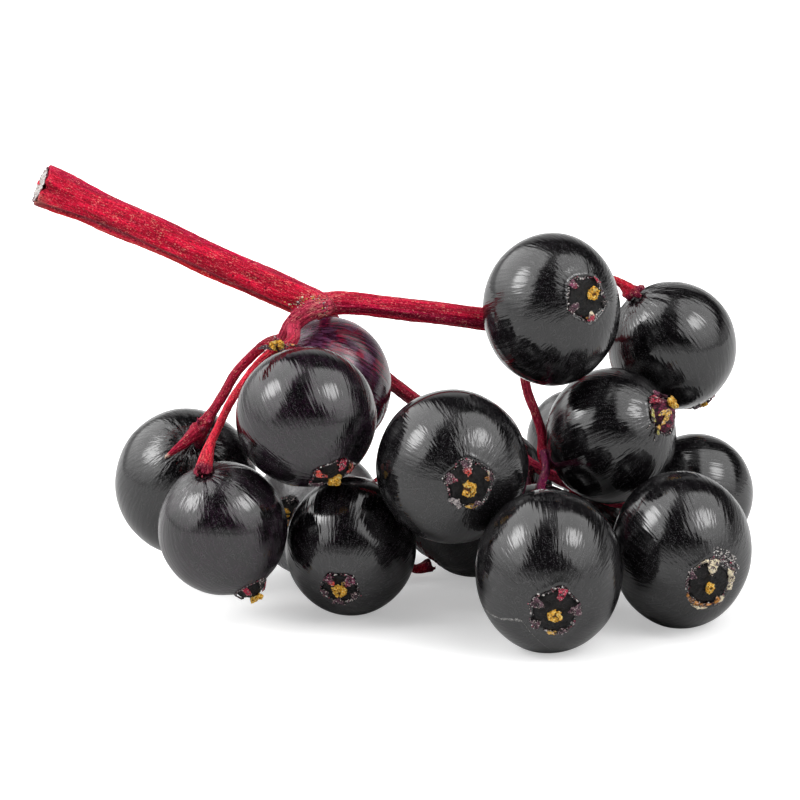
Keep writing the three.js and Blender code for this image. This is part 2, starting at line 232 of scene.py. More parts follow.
TRAITS = {
    1: Traits(
        [Sepal(132, "plum", 0.85, 0.8, 0.1, "rosy"), Sepal(203, "dull", 0.9, 0.8),
         Sepal(270, "crimson", 1.2, 1.0, 0.25, "cream"),
         Sepal(48, "crimson", 0.8, 0.8, 0.5), Sepal(338, "black", 0.5, 0.8)],
        [Flake(255, 290, "orange", 1.0, 0.92)],
        ring=0.3, stigma_turn=-60, stigma_size=1.05, stigma_at=(0.08, 0.03),
    ),
    2: Traits(
        [Sepal(60, "dull"), Sepal(130, "rosy"), Sepal(200, "dull"), Sepal(275, "orange"),
         Sepal(345, "dull")],
        ring=0.25, wrinkled=1.8, collar=(0.38, 0.8), knobs=30, knob_size=1.5, knob_rise=0.6,
    ),
    3: Traits(
        [Sepal(118, "crimson", 1.1, 1.2, 0.35, "rosy"), Sepal(60, "plum", 0.7, 1.2, 0.5),
         Sepal(20, "plum", 0.7, 1.1, 0.5)],
        [Flake(70, 130, "plum", 1.3, 1.02)],
        [
            Flap("gold", 1.9, (-0.26, 0.025, 1.06), (-0.17, 0.03, 1.13), (-0.08, 0.014, 1.17),
                 (-0.16, -0.05, 1.13), (-0.27, -0.125, 1.05)),
            Flap("olive", 1.6, (-0.22, 0.17, 1.0), (-0.3, 0.08, 1.0), (-0.31, 0.0, 1.0),
                 (-0.29, -0.06, 1.0)),
            Flap("gold", 2.2, (-0.28, -0.11, 1.0), (-0.26, -0.18, 1.0)),
            Flap("olive", 1.8, (-0.27, -0.17, 0.98), (-0.3, -0.25, 0.96)),
            Flap("crimson", 2.2, (0.13, -0.06, 1.06), (0.0, -0.14, 1.06), (-0.12, -0.19, 1.05)),
            Flap("crimson", 2.0, (-0.16, 0.24, 1.0), (-0.04, 0.2, 1.02)),
            Flap("plum", 1.8, (-0.02, 0.02, 1.05), (-0.2, -0.1, 1.03)),
            Flap("plum", 1.6, (0.0, 0.39, 0.96), (0.08, 0.32, 0.98), (0.15, 0.25, 1.0)),
            Flap("black", 0.5, (-0.29, -0.08, 0.97), (-0.37, -0.16, 0.93), (-0.43, -0.22, 0.885)),
            Flap("black", 0.5, (-0.27, -0.15, 0.965), (-0.33, -0.24, 0.925), (-0.37, -0.32, 0.885)),
            Flap("black", 0.4, (-0.31, -0.03, 0.965), (-0.38, -0.07, 0.935), (-0.45, -0.1, 0.9)),
        ],
        ring=0.3, dome=0.2, purple=1.0, wrinkled=1.7, stigma_turn=40, stigma_size=1.1,
        stigma_at=(0.05, 0.12),
    ),
    5: Traits(
        [Sepal(86, "cream", 1.25, 1.15, 0.05), Sepal(150, "dull", 0.7, 0.8),
         Sepal(300, "orange", 0.7, 0.8)],
        [Flake(35, -32, "cream", 2.3, 1.02), Flake(62, 128, "cream", 1.0, 1.06),
         Flake(198, 292, "orange", 1.3), Flake(300, 322, "cream", 2.4, 1.0),
         Flake(232, 275, "cream", 0.8, 1.12), Flake(150, 185, "dull", 1.0, 1.04)],
        ring=0.32, stigma_turn=20, stigma_size=0.85, stigma_gap=50, stigma_at=(0.0, -0.03),
        granules=(12, 84, 190),
    ),
    6: Traits(
        [Sepal(74, "crimson", 1.1, 0.9), Sepal(148, "dull", 1.1, 1.1), Sepal(8, "dull", 1.0, 1.3),
         Sepal(214, "dull", 0.7, 0.9), Sepal(290, "dull", 0.6, 0.9)],
        [Flake(252, 279, "gold", 1.2, 1.0), Flake(205, 228, "pale", 0.9, 0.95)],
        ring=0.315, stigma_turn=75, stigma_at=(0.0, -0.02),
    ),
    7: Traits(
        [Sepal(98, "dull", 1.45, 1.0, 0.1, "coral"), Sepal(160, "dull", 0.95, 1.1, 0.1, "rosy"),
         Sepal(18, "dull", 0.8, 0.8, 0.1, "orange"),
         Sepal(232, "pale", 0.6, 1.2), Sepal(290, "dull", 0.5)],
        [Flake(258, 296, "gold", 1.5, 0.98), Flake(212, 244, "pale", 1.3, 0.98),
         Flake(150, 172, "coral", 1.0, 0.9), Flake(10, 30, "cream", 0.9, 0.95)],
        ring=0.305, stigma_turn=170, stigma_gap=48, stigma_size=1.15, stigma_at=(-0.03, -0.05),
    ),
    8: Traits(
        [Sepal(160, "coral", 1.2, 0.9, 0.15), Sepal(78, "crimson", 1.2, 1.0, 0.15),
         Sepal(25, "coral", 1.0, 0.9, 0.3), Sepal(225, "dull"), Sepal(300, "dull")],
        [Flake(60, 95, "coral", 1.0, 0.8), Flake(10, 40, "orange", 1.2, 0.95)],
        ring=0.3, dome=0.06, tint=0.3, stigma_size=1.2, stigma_turn=200, stigma_at=(0.02, -0.06),
    ),
    9: Traits(
        [Sepal(20, "crimson", 1.2, 1.0, 0.3), Sepal(92, "dull"), Sepal(164, "rosy"),
         Sepal(236, "dull"), Sepal(308, "dull")],
        ring=0.26, dome=0.08, tint=0.9, blush=1.0, stigma_size=1.2, stigma_turn=30,
    ),
    10: Traits(
        [Sepal(47, "dull"), Sepal(119, "rosy"), Sepal(191, "dull"), Sepal(263, "dull"),
         Sepal(335, "rosy")],
        collar=(0.42, 1.5), knobs=40, knob_size=0.95, knob_rise=1.35,
    ),
    11: Traits(
        [Sepal(20, "crimson", 0.8, 0.8, 0.1), Sepal(95, "black", 0.8, 1.0, 0.1),
         Sepal(165, "crimson", 0.8, 0.7, 0.1), Sepal(238, "dull", 0.6), Sepal(310, "dull", 0.6)],
        ring=0.25, dome=0.16, tint=0.3, stigma_size=1.15, collar=(0.4, 1.9), knobs=18,
        knob_size=1.1, knob_rise=0.22,
    ),
    12: Traits(
        [Sepal(128, "plum", 1.15, 1.05, 0.1, "coral"), Sepal(47, "plum", 1.15, 1.1, 0.1, "rosy"),
         Sepal(262, "dull", 0.8, 1.6),
         Sepal(196, "dull", 0.7), Sepal(335, "dull", 0.7)],
        [Flake(56, 76, "gold", 1.5, 0.66, 0.06), Flake(110, 150, "plum", 1.0, 0.85)],
        ring=0.27, tint=0.1, stigma_size=1.2, stigma_turn=-90,
    ),
    13: Traits(
        [Sepal(80, "black"), Sepal(150, "black"), Sepal(20, "dull"), Sepal(230, "dull"),
         Sepal(300, "orange", 1.2, 1.3, 0.2)],
        [Flake(255, 330, "orange", 1.6, 0.85)],
        # Its skin has a painted grey highlight near the crown.
        ring=0.26, dusty=1.0, stigma_size=0.9,
    ),
}

# The withered flower: a stigma with its sepals spread below it.
FLOWER_TRAITS = Traits(
    [Sepal(200, "dull", -1.0, 0.7, -0.1), Sepal(320, "dull", -0.9, 0.7, -0.1),
     Sepal(12, "crimson", -1.0, 0.6, -0.1, "orange"), Sepal(110, "rosy", -0.5, 0.7, -0.3)],
    [Flake(200, 330, "orange", 1.2, 0.9)],
    ring=0.085, dome=0.0, stigma_size=1.2, stigma_turn=-60, stigma_gap=40,
)


# ---- reading the frame ---------------------------------------------------------------------
def unit(vector):
    return vector / np.linalg.norm(vector)


def smooth_step(low, high, value):
    """0 up to low and 1 past high, with a smooth rise between them."""
    share = np.clip((value - low) / (high - low), 0, 1)
    return share * share * (3 - 2 * share)


def upright_axes(axis):
    """Two directions across an axis: a level one, and the one above it."""
    right = unit(np.cross([0, 0, 1], axis))
    return right, np.cross(axis, right)


def circle(sides):
    """The cosine and sine of evenly spaced angles round a circle."""
    angles = np.arange(sides) * 2 * np.pi / sides
    return list(zip(np.cos(angles), np.sin(angles)))


def node_points(name):
    """The vertices of a CAD node in millimetres, doubles merged, and its triangles."""
    mesh = frame["nodes"][name].data
    points = np.array([v.co for v in mesh.vertices]) / MM
    merged, index = np.unique(np.round(points, 4), axis=0, return_inverse=True)
    index = index.ravel()
    return merged, [index[list(p.vertices)] for p in mesh.polygons]


def fit_ellipsoid(points):
    """Centre and half-widths of the upright ellipsoid that most of the points lie on."""
    keep = np.ones(len(points), bool)
    terms = np.hstack([points ** 2, points])
    for _ in range(4):
        a = np.linalg.lstsq(terms[keep], np.ones(keep.sum()), rcond=None)[0]
        miss = np.abs(terms @ a - 1)
        keep = miss < max(np.median(miss) * 6, 1e-6)
    centre = -a[3:] / (2 * a[:3])
    scale = 1 + (a[:3] * centre ** 2).sum()
    return centre, np.sqrt(scale / a[:3])


def ring_route(name, outer_end):
    """A CAD stalk's centreline and radii, from its first whole ring to its outer end. They are
    read ring by ring inwards from the end cap that is nearest to outer_end."""
    points, triangles = node_points(name)
    near = [set() for _ in points]
    for triangle in triangles:
        for corner in triangle:
            near[corner].update(triangle)
    caps = []
    for i, around in enumerate(near):
        ring = points[sorted(around - {i})] - points[i]
        reach = np.linalg.norm(ring, axis=1)
        flatness = np.linalg.svd(ring)[1][2]
        if len(ring) > 5 and reach.std() < 0.01 and flatness < 0.01:
            caps.append(i)
    start = min(caps, key=lambda i: np.linalg.norm(points[i] - outer_end))
    sides = len(near[start]) - 1
    seen = {start}
    level = near[start] - seen
    route = [points[start]]
    radii = [np.linalg.norm(points[sorted(level)] - points[start], axis=1).mean()]
    while level:
        ring = points[sorted(level)]
        if len(ring) != sides and len(route) > 1:
            break
        centre = ring.mean(axis=0)
        if np.linalg.norm(centre - route[-1]) > 0.02:
            route.append(centre)
            radii.append(np.linalg.norm(ring - centre, axis=1).mean())
        seen |= level
        level = set().union(*(near[i] for i in level)) - seen
    return np.array(route[::-1]), np.array(radii[::-1])


class Berry:
    """Where a berry is, and which way its crown and its pedicel are."""

    def __init__(self, number):
        self.number = number
        self.label = f"{number:02d}"
        self.traits = TRAITS.get(number) or plain_traits(number)
        self.rim = math.sqrt(1 - self.traits.ring ** 2)
        points, _ = node_points(f"berry_{self.label}")
        clear_of_surface = points[points[:, 2] > 0.05]
        self.centre, self.size = fit_ellipsoid(clear_of_surface)
        self.radius = self.size.mean()
        calyx, _ = node_points(f"calyx_{self.label}")
        self.crown = unit(((calyx - self.centre) / self.size).mean(axis=0))
        self.pedicel = ring_route(f"pedicel_{self.label}", self.centre)
        self.seat_point = self.pedicel[0][-1]
        self.seat = unit((self.seat_point - self.centre) / self.size)
        self.rng = np.random.default_rng(100 + number)

    def crown_point(self, across, up, out):
        """A place on the crown, in shares of the berry's radius: across and up in the crown's
        own plane, out along its axis from the berry's centre."""
        axis = unit(self.crown / self.size)
        right, rise = upright_axes(axis)
        foot = self.centre + self.size * self.crown
        offset = np.multiply.outer(across, right) + np.multiply.outer(up, rise)
        offset = offset + np.multiply.outer(np.asarray(out) - 1, axis)
        return foot + self.radius * offset


class Flower:
    """The withered flower, with a berry's calls for making its sepals and its stigma."""

    def __init__(self, stalk_name, name):
        self.number = 0
        self.label = name
        self.traits = FLOWER_TRAITS
        self.rim = 0.0
        points, _ = node_points(name)
        self.centre = points.mean(axis=0)
        route, _ = ring_route(stalk_name, self.centre)
        self.crown = unit(self.centre - route[-1])
        self.radius = FLOWER_SCALE
        self.rng = np.random.default_rng(200)

    def crown_point(self, across, up, out):
        """As for a berry, but wider than high, with its foot sunk a little way in."""
        right, rise = upright_axes(self.crown)
        offset = np.multiply.outer(across, right) * 1.2 + np.multiply.outer(up, rise) * 0.8
        offset = offset + np.multiply.outer(np.asarray(out) - 0.05, self.crown)
        return self.centre + self.radius * offset


# ---- making pieces -------------------------------------------------------------------------
def make_mesh(name, points, faces):
    mesh = bpy.data.meshes.new(name)
    mesh.from_pydata(np.asarray(points, float).tolist(), [], [list(map(int, f)) for f in faces])
    mesh.update()
    return mesh


def make_piece(name, points, faces, material, slot, nodes=(), **attributes):
    """A smooth piece from points in millimetres. Attributes hold one number or one vector for
    every point, for the materials to read."""
    mesh = make_mesh(name, np.asarray(points) * MM, faces)
    mesh.shade_smooth()
    mesh.materials.append(material)
    for key, values in attributes.items():
        values = np.asarray(values, np.float32)
        if values.ndim == 2:
            layer = mesh.attributes.new(key, "FLOAT_VECTOR", "POINT")
            layer.data.foreach_set("vector", values.ravel())
        else:
            layer = mesh.attributes.new(key, "FLOAT", "POINT")
            layer.data.foreach_set("value", values)
    piece = bpy.data.objects.new(name, mesh)
    bpy.context.scene.collection.objects.link(piece)
    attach(piece, "root")
    if nodes:
        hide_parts(*nodes)


def noise_at(points, scale, seed, octaves=2):
    """Smooth noise from -1 to 1 at every point."""
    shift = Vector((seed * 7.31, seed * 3.17, seed * 5.73))
    return np.array([noise.fractal(Vector(p) * scale + shift, 0.6, 2.0, octaves) for p in points])


def tube_faces(rings, sides):
    """Faces of a tube of rings x sides points, closed by the middles of its two ends, which
    are the two points after them."""
    faces = []
    for ring in range(rings - 1):
        for side in range(sides):
            after = (side + 1) % sides
            low, high = ring * sides, (ring + 1) * sides
            faces.append((low + side, low + after, high + after, high + side))
    first, last = rings * sides, rings * sides + 1
    for side in range(sides):
        after = (side + 1) % sides
        faces.append((first, after, side))
        faces.append((last, (rings - 1) * sides + side, (rings - 1) * sides + after))
    return faces


def join_shapes(shapes):
    """One list of points and faces from several."""
    points, faces, count = [], [], 0
    for shape_points, shape_faces in shapes:
        points.append(np.asarray(shape_points, float))
        faces.extend(tuple(np.asarray(face) + count) for face in shape_faces)
        count += len(shape_points)
    return np.vstack(points), faces


def ball(detail):
    """Points and faces of a unit ball."""
    bm = bmesh.new()
    bmesh.ops.create_icosphere(bm, subdivisions=detail, radius=1)
    points = np.array([v.co for v in bm.verts])
    faces = [tuple(v.index for v in f.verts) for f in bm.faces]
    bm.free()
    return points, faces


# ---- node groups and materials -------------------------------------------------------------
class Maker:
    """Adds nodes to a node tree, one short call each."""

    def __init__(self, tree):
        self.tree = tree

    def add(self, kind, **settings):
        node = self.tree.nodes.new(kind)
        for key, value in settings.items():
            setattr(node, key, value)
        return node

    def link(self, source, target):
        self.tree.links.new(source, target)

    def feed(self, target, value):
        if isinstance(value, bpy.types.NodeSocket):
            self.link(value, target)
        else:
            target.default_value = value

    def math(self, operation, a, b=0.0, c=0.0):
        node = self.add("ShaderNodeMath", operation=operation)
        for socket, value in zip(node.inputs, (a, b, c)):
            self.feed(socket, value)
        return node.outputs[0]

    def times(self, a, b):
        return self.math("MULTIPLY", a, b)

    def add_share(self, base, value, share):
        """base, plus a share of value."""
        return self.math("MULTIPLY_ADD", value, share, base)

    def ramp(self, value, low, high, to_low=0.0, to_high=1.0):
        """A smooth step from one number to another while the value goes from low to high."""
        node = self.add("ShaderNodeMapRange", interpolation_type="SMOOTHSTEP")
        for index, number in enumerate((value, low, high, to_low, to_high)):
            self.feed(node.inputs[index], number)
        return node.outputs[0]

    def mix(self, share, a, b, blend="MIX"):
        node = self.add("ShaderNodeMix", data_type="RGBA", blend_type=blend)
        self.feed(node.inputs[0], share)
        self.feed(node.inputs[6], a)
        self.feed(node.inputs[7], b)
        return node.outputs[2]

    def noise(self, vector, scale, detail, roughness):
        node = self.add("ShaderNodeTexNoise")
        self.link(vector, node.inputs["Vector"])
        node.inputs["Scale"].default_value = scale
        node.inputs["Detail"].default_value = detail
        node.inputs["Roughness"].default_value = roughness
        return node.outputs["Fac"]

    def stretch(self, vector, amounts):
        node = self.add("ShaderNodeVectorMath", operation="MULTIPLY")
        self.link(vector, node.inputs[0])
        self.feed(node.inputs[1], amounts)
        return node.outputs[0]

    def attribute(self, name, output="Vector"):
        node = self.add("ShaderNodeAttribute", attribute_type="GEOMETRY", attribute_name=name)
        return node.outputs[output]

    def group(self, tree, **inputs):
        node = self.add("ShaderNodeGroup", node_tree=tree)
        for key, value in inputs.items():
            self.feed(node.inputs[key], value)
        return node


def new_group(name, inputs, outputs):
    """An empty node group with named sockets, its maker, and its input and output nodes."""
    tree = bpy.data.node_groups.new(name, "ShaderNodeTree")
    kinds = {"value": "NodeSocketFloat", "vector": "NodeSocketVector"}
    for key, kind in inputs.items():
        tree.interface.new_socket(name=key, in_out="INPUT", socket_type=kinds[kind])
    for key, kind in outputs.items():
        tree.interface.new_socket(name=key, in_out="OUTPUT", socket_type=kinds[kind])
    maker = Maker(tree)
    return maker, maker.add("NodeGroupInput"), maker.add("NodeGroupOutput")


def lengthwise(maker, given, place, fineness):
    """A group's given place scaled up by its fineness, less so along its third direction."""
    scale = maker.add("ShaderNodeCombineXYZ")
    maker.link(given.outputs[fineness], scale.inputs[0])
    maker.link(given.outputs[fineness], scale.inputs[1])
    along = maker.math("DIVIDE", given.outputs[fineness], given.outputs["Stretch"])
    maker.link(along, scale.inputs[2])
    return maker.stretch(given.outputs[place], scale.outputs[0])


def fine_lines_group():
    """Fine lines that run along a piece: Grain is a place in a space whose third direction
    runs along it."""
    maker, given, result = new_group(
        "fine lines",
        {"Grain": "vector", "Fineness": "value", "Stretch": "value"},
        {"Lines": "value", "Broad": "value"},
    )
    place = lengthwise(maker, given, "Grain", "Fineness")
    maker.link(maker.noise(place, 1.0, 1.5, 0.5), result.inputs["Lines"])
    maker.link(maker.noise(place, 0.28, 2.0, 0.5), result.inputs["Broad"])
    return maker.tree


def flecks_group():
    """Small scattered flecks: a mask that is 1 inside them."""
    maker, given, result = new_group(
        "flecks",
        {"Place": "vector", "Density": "value", "Amount": "value", "Stretch": "value"},
        {"Mask": "value"},
    )
    place = lengthwise(maker, given, "Place", "Density")
    spots = maker.add("ShaderNodeTexVoronoi", feature="F1")
    maker.link(place, spots.inputs["Vector"])
    spots.inputs["Scale"].default_value = 1.0
    keep = maker.add("ShaderNodeSeparateColor")
    maker.link(spots.outputs["Color"], keep.inputs[0])
    chosen = maker.math("LESS_THAN", keep.outputs[0], given.outputs["Amount"])
    size = maker.ramp(keep.outputs[1], 0.0, 1.0, 0.12, 0.42)
    inside = maker.math("LESS_THAN", spots.outputs["Distance"], size)
    maker.link(maker.times(chosen, inside), result.inputs["Mask"])
    return maker.tree


FINE_LINES = fine_lines_group()
FLECKS = flecks_group()


def new_material(name):
    """A material with only a Principled shader, and the maker for its nodes."""
    material = bpy.data.materials.new(name)
    material.use_nodes = True
    maker = Maker(material.node_tree)
    return material, maker, material.node_tree.nodes["Principled BSDF"]


def add_bump(maker, shader, height, distance, strength=1.0):
    bump = maker.add("ShaderNodeBump")
    bump.inputs["Strength"].default_value = strength
    bump.inputs["Distance"].default_value = distance * MM
    maker.link(height, bump.inputs["Height"])
    maker.link(bump.outputs[0], shader.inputs["Normal"])


def skin_material():
    """Berry skin: nearly black, glossy, finely lined from pedicel to crown. The tint shows as
    purple, the blush as streaky red, and the split is a thin torn line."""
    material, maker, shader = new_material("berry_skin")
    lined = maker.group(FINE_LINES, Grain=maker.attribute("grain"), Fineness=21.0, Stretch=20.0)
    lines, broad = lined.outputs["Lines"], lined.outputs["Broad"]
    place = maker.attribute("place")
    patches = maker.noise(place, 1.3, 3.0, 0.55)
    grains = maker.noise(place, 14.0, 3.0, 0.65)
    dots = maker.noise(place, 22.0, 2.0, 0.7)
    flushed = maker.attribute("blush", "Fac")
    dusty = maker.attribute("dusty", "Fac")

    # Near-black with paler grains, and a painted grey highlight where a berry has one.
    light = maker.ramp(lines, 0.35, 0.65, 0.35, 1.0)
    light = maker.times(maker.ramp(dots, 0.5, 0.64), light)
    black = maker.mix(light, (0.0008, 0.0008, 0.0009, 1), (0.048, 0.047, 0.049, 1))
    dust = maker.mix(grains, (0.1, 0.1, 0.102, 1), (0.5, 0.5, 0.51, 1))
    colour = maker.mix(dusty, black, dust)

    # A speckled purple tint, and a red flush in streaks.
    speckle = maker.times(maker.ramp(grains, 0.42, 0.62), maker.ramp(patches, 0.3, 0.6))
    tint = maker.times(maker.attribute("tint", "Fac"), speckle)
    colour = maker.mix(tint, colour, (0.05, 0.011, 0.042, 1))
    colour = maker.mix(flushed, colour, (0.03, 0.004, 0.02, 1))
    streaks = maker.ramp(lines, 0.44, 0.56, 0.1, 1.0)
    streaks = maker.times(maker.ramp(broad, 0.38, 0.6, 0.25, 1.0), streaks)
    reddish = maker.ramp(patches, 0.42, 0.56)
    flush = maker.mix(reddish, (0.34, 0.006, 0.05, 1), (0.16, 0.05, 0.13, 1))
    colour = maker.mix(maker.times(flushed, streaks), colour, flush)

    # Pale pits, and the split with pale tissue in it.
    pits = maker.group(FLECKS, Place=place, Density=20.0, Amount=0.05, Stretch=1.0)
    colour = maker.mix(pits.outputs["Mask"], colour, (0.05, 0.047, 0.05, 1))
    waver = maker.add_share(-0.15, maker.noise(place, 3.5, 3.0, 0.6), 0.3)
    offset = maker.math("ABSOLUTE", maker.math("ADD", maker.attribute("split", "Fac"), waver))
    split = maker.ramp(offset, 0.025, 0.07, 1.0, 0.0)
    tissue = maker.ramp(dots, 0.5, 0.56)
    torn = maker.mix(tissue, (0.002, 0.002, 0.002, 1), (0.4, 0.39, 0.37, 1))
    maker.link(maker.mix(split, colour, torn), shader.inputs["Base Color"])

    bloom = maker.ramp(patches, 0.35, 0.7, 0.07, 0.15)
    bloom = maker.add_share(bloom, maker.math("MAXIMUM", flushed, dusty), 0.14)
    fine = maker.ramp(lines, 0.3, 0.7, -0.03, 0.05)
    maker.link(maker.math("ADD", bloom, fine), shader.inputs["Roughness"])
    height = maker.add_share(lines, broad, 0.3)
    height = maker.add_share(height, dots, 0.05)
    height = maker.add_share(height, split, -1.5)
    add_bump(maker, shader, height, 0.019)
    shader.inputs["IOR"].default_value = 1.68
    return material


def stalk_material():
    """Ribbed stalk skin in its bark colour, which carries painted shade and painted light, with
    fibres, pale grains and dark pits.
    """
    material, maker, shader = new_material("stalk_skin")
    grain = maker.attribute("grain")
    bark = maker.attribute("bark", "Color")
    lines = maker.group(FINE_LINES, Grain=grain, Fineness=13.0, Stretch=9.0).outputs["Lines"]
    fibres = maker.ramp(lines, 0.38, 0.62)
    dark = maker.mix(1.0, bark, (0.6, 0.5, 0.6, 1), "MULTIPLY")
    light = maker.mix(1.0, bark, (1.0, 1.4, 1.2, 1), "MULTIPLY")
    fibrous = maker.mix(fibres, dark, light)
    mottle = maker.noise(maker.stretch(grain, (19.0, 19.0, 13.0)), 1.0, 3.0, 0.7)
    pits = maker.ramp(mottle, 0.45, 0.36)
    pitted = maker.mix(pits, fibrous, (0.09, 0.003, 0.015, 1))
    blotch = maker.noise(grain, 2.6, 3.0, 0.6)
    cream = maker.mix(maker.ramp(blotch, 0.4, 0.7), (0.85, 0.14, 0.2, 1), (0.85, 0.5, 0.34, 1))
    least = maker.add_share(0.59, maker.attribute("crumbly", "Fac"), -0.07)
    least = maker.add_share(least, blotch, -0.06)
    pale = maker.ramp(maker.math("SUBTRACT", mottle, least), 0.0, 0.09, 0.0, 0.7)
    maker.link(maker.mix(pale, pitted, cream), shader.inputs["Base Color"])
    maker.link(maker.ramp(mottle, 0.3, 0.7, 0.4, 0.6), shader.inputs["Roughness"])
    height = maker.add_share(lines, mottle, 0.8)
    add_bump(maker, shader, height, 0.07, 0.8)
    shader.inputs["Specular IOR Level"].default_value = 0.1
    return material


def pith_material():
    """The torn pale inside of the stem's cut end."""
    material, maker, shader = new_material("pith")
    place = maker.attribute("place")
    cells = maker.noise(place, 6.0, 4.0, 0.7)
    pale = maker.mix(maker.ramp(cells, 0.35, 0.6), (0.36, 0.28, 0.27, 1), (0.82, 0.8, 0.77, 1))
    edge = maker.mix(maker.attribute("edge", "Fac"), pale, (0.16, 0.012, 0.05, 1))
    maker.link(edge, shader.inputs["Base Color"])
    shader.inputs["Roughness"].default_value = 0.8
    add_bump(maker, shader, cells, 0.1)
    return material


def disc_material():
    """The dark disc inside the crown."""
    material, maker, shader = new_material("crown_disc")
    place = maker.attribute("place")
    mottle = maker.noise(place, 6.0, 5.0, 0.7)
    paler = maker.ramp(mottle, 0.5, 0.72)
    black = maker.mix(paler, (0.0015, 0.0014, 0.0015, 1), (0.035, 0.028, 0.03, 1))
    redder = maker.ramp(mottle, 0.42, 0.62)
    plum = maker.mix(redder, (0.012, 0.002, 0.008, 1), (0.26, 0.03, 0.08, 1))
    stained = maker.mix(maker.attribute("purple", "Fac"), black, plum)
    maker.link(stained, shader.inputs["Base Color"])
    maker.link(maker.ramp(mottle, 0.3, 0.7, 0.28, 0.5), shader.inputs["Roughness"])
    add_bump(maker, shader, mottle, 0.16)
    shader.inputs["Specular IOR Level"].default_value = 0.38
    return material


def sepal_material():
    """Dried tissue in its own tone, blotched dark, with pale specks, more of them at its edges,
    that are partly pale grains and partly painted glints.
    """
    material, maker, shader = new_material("dried_tissue")
    place = maker.attribute("place")
    tone = maker.attribute("tone", "Color")
    mottle = maker.noise(place, 7.0, 4.0, 0.7)
    grains = maker.noise(place, 17.0, 2.0, 0.6)
    dark = maker.mix(1.0, tone, (0.05, 0.03, 0.05, 1), "MULTIPLY")
    body = maker.mix(maker.ramp(mottle, 0.43, 0.53), dark, tone)
    edge = maker.times(maker.attribute("edge", "Fac"), 0.1)
    limit = maker.math("SUBTRACT", 0.6, edge)
    # Pale specks, more at the edges: partly grains of the tissue, partly painted glints.
    specks = maker.ramp(grains, limit, 0.66, 0.0, 0.9)
    maker.link(maker.mix(specks, body, (0.9, 0.78, 0.74, 1)), shader.inputs["Base Color"])
    maker.link(maker.ramp(mottle, 0.3, 0.7, 0.4, 0.65), shader.inputs["Roughness"])
    add_bump(maker, shader, maker.math("ADD", mottle, grains), 0.1)
    return material


def stigma_material():
    """Golden granular stigma, with painted highlights on its grains and painted shade in dark
    brown on its inner side and its stump.
    """
    material, maker, shader = new_material("stigma")
    place = maker.attribute("place")
    grains = maker.noise(place, 11.0, 3.0, 0.65)
    gold = maker.mix(maker.ramp(grains, 0.39, 0.45), (0.12, 0.02, 0.002, 1), (1.0, 0.5, 0.025, 1))
    # Painted highlights: pale gold on the highest grains.
    gold_painted_highlight = maker.mix(maker.ramp(grains, 0.52, 0.6), gold, (1.0, 0.84, 0.32, 1))
    # Painted shade: dark brown on the inner side of the horseshoe and on the stump.
    hollow = maker.mix(maker.attribute("hollow", "Fac"), gold_painted_highlight, (0.1, 0.03, 0.005, 1))
    maker.link(hollow, shader.inputs["Base Color"])
    shader.inputs["Roughness"].default_value = 0.6
    add_bump(maker, shader, grains, 0.12)
    return material


# ---- the stalks ----------------------------------------------------------------------------
class Stalk:
    """One stalk on a smooth route, from inside its parent to its outer end. flatness is its
    thickness from front to back over its width."""

    def __init__(self, name, route, radii, parents, flatness=1.0):
        self.name = name
        self.flatness = flatness
        self.forked = bool(parents)
        if parents:
            places = np.vstack([parent.centres for parent in parents])
            behind = route[0] - unit(route[1] - route[0]) * FORK_REACH
            root = places[np.linalg.norm(places - behind, axis=1).argmin()]
            route = np.vstack([root, route])
            radii = np.concatenate([radii[:1], radii])
        self.centres, self.along, self.radii = self.resample(route, radii)
        self.tangents = np.gradient(self.centres, axis=0)
        self.tangents /= np.linalg.norm(self.tangents, axis=1)[:, None]
        self.normals = self.carry_normals()
        self.sides = np.cross(self.tangents, self.normals)

    def resample(self, route, radii):
        """Evenly spaced places on a smooth curve through the route's points."""
        steps = np.linalg.norm(np.diff(route, axis=0), axis=1)
        knots = np.concatenate([[0], np.cumsum(steps)])
        slopes = np.gradient(route, knots, axis=0)
        count = max(6, int(knots[-1] / TUBE_SPACING))
        at = np.linspace(0, knots[-1], count)
        index = np.clip(np.searchsorted(knots, at, side="right") - 1, 0, len(steps) - 1)
        span = steps[index]
        t = (at - knots[index]) / span
        start = (2 * t ** 3 - 3 * t ** 2 + 1)[:, None] * route[index]
        end = (3 * t ** 2 - 2 * t ** 3)[:, None] * route[index + 1]
        leave = ((t ** 3 - 2 * t ** 2 + t) * span)[:, None] * slopes[index]
        arrive = ((t ** 3 - t ** 2) * span)[:, None] * slopes[index + 1]
        return start + end + leave + arrive, at, np.interp(at, knots, radii)

    def carry_normals(self):
        """Normals that start upwards and turn as little as they can along the stalk."""
        normal = np.array([0.0, 0.0, 1.0])
        normals = []
        for tangent in self.tangents:
            normal = unit(normal - tangent * normal.dot(tangent))
            normals.append(normal)
        return np.array(normals)

    def tube(self):
        """The stalk's closed tube: thicker at its root, or cut at a slant if it has none."""
        radii = self.radii.copy()
        if self.forked:
            radii *= 1 + FORK_FLARE * np.exp(-self.along / FORK_FLARE_LENGTH)
        angles = np.linspace(0, 2 * np.pi, TUBE_SIDES, endpoint=False)
        rings = (
            np.cos(angles)[None, :, None] * self.normals[:, None, :]
            + np.sin(angles)[None, :, None] * self.sides[:, None, :] * self.flatness
        )
        points = self.centres[:, None, :] + radii[:, None, None] * rings
        if not self.forked:
            ragged = np.random.default_rng(8).uniform(0, 0.1, TUBE_SIDES)
            slant = CUT_SLANT * np.sin(angles) * radii[0] + ragged
            points[0] += slant[:, None] * self.tangents[0]
            points[1] += slant[:, None] * self.tangents[0] * 0.5
        points = np.vstack([points.reshape(-1, 3), self.centres[0], self.centres[-1]])
        return points, tube_faces(len(radii), TUBE_SIDES)


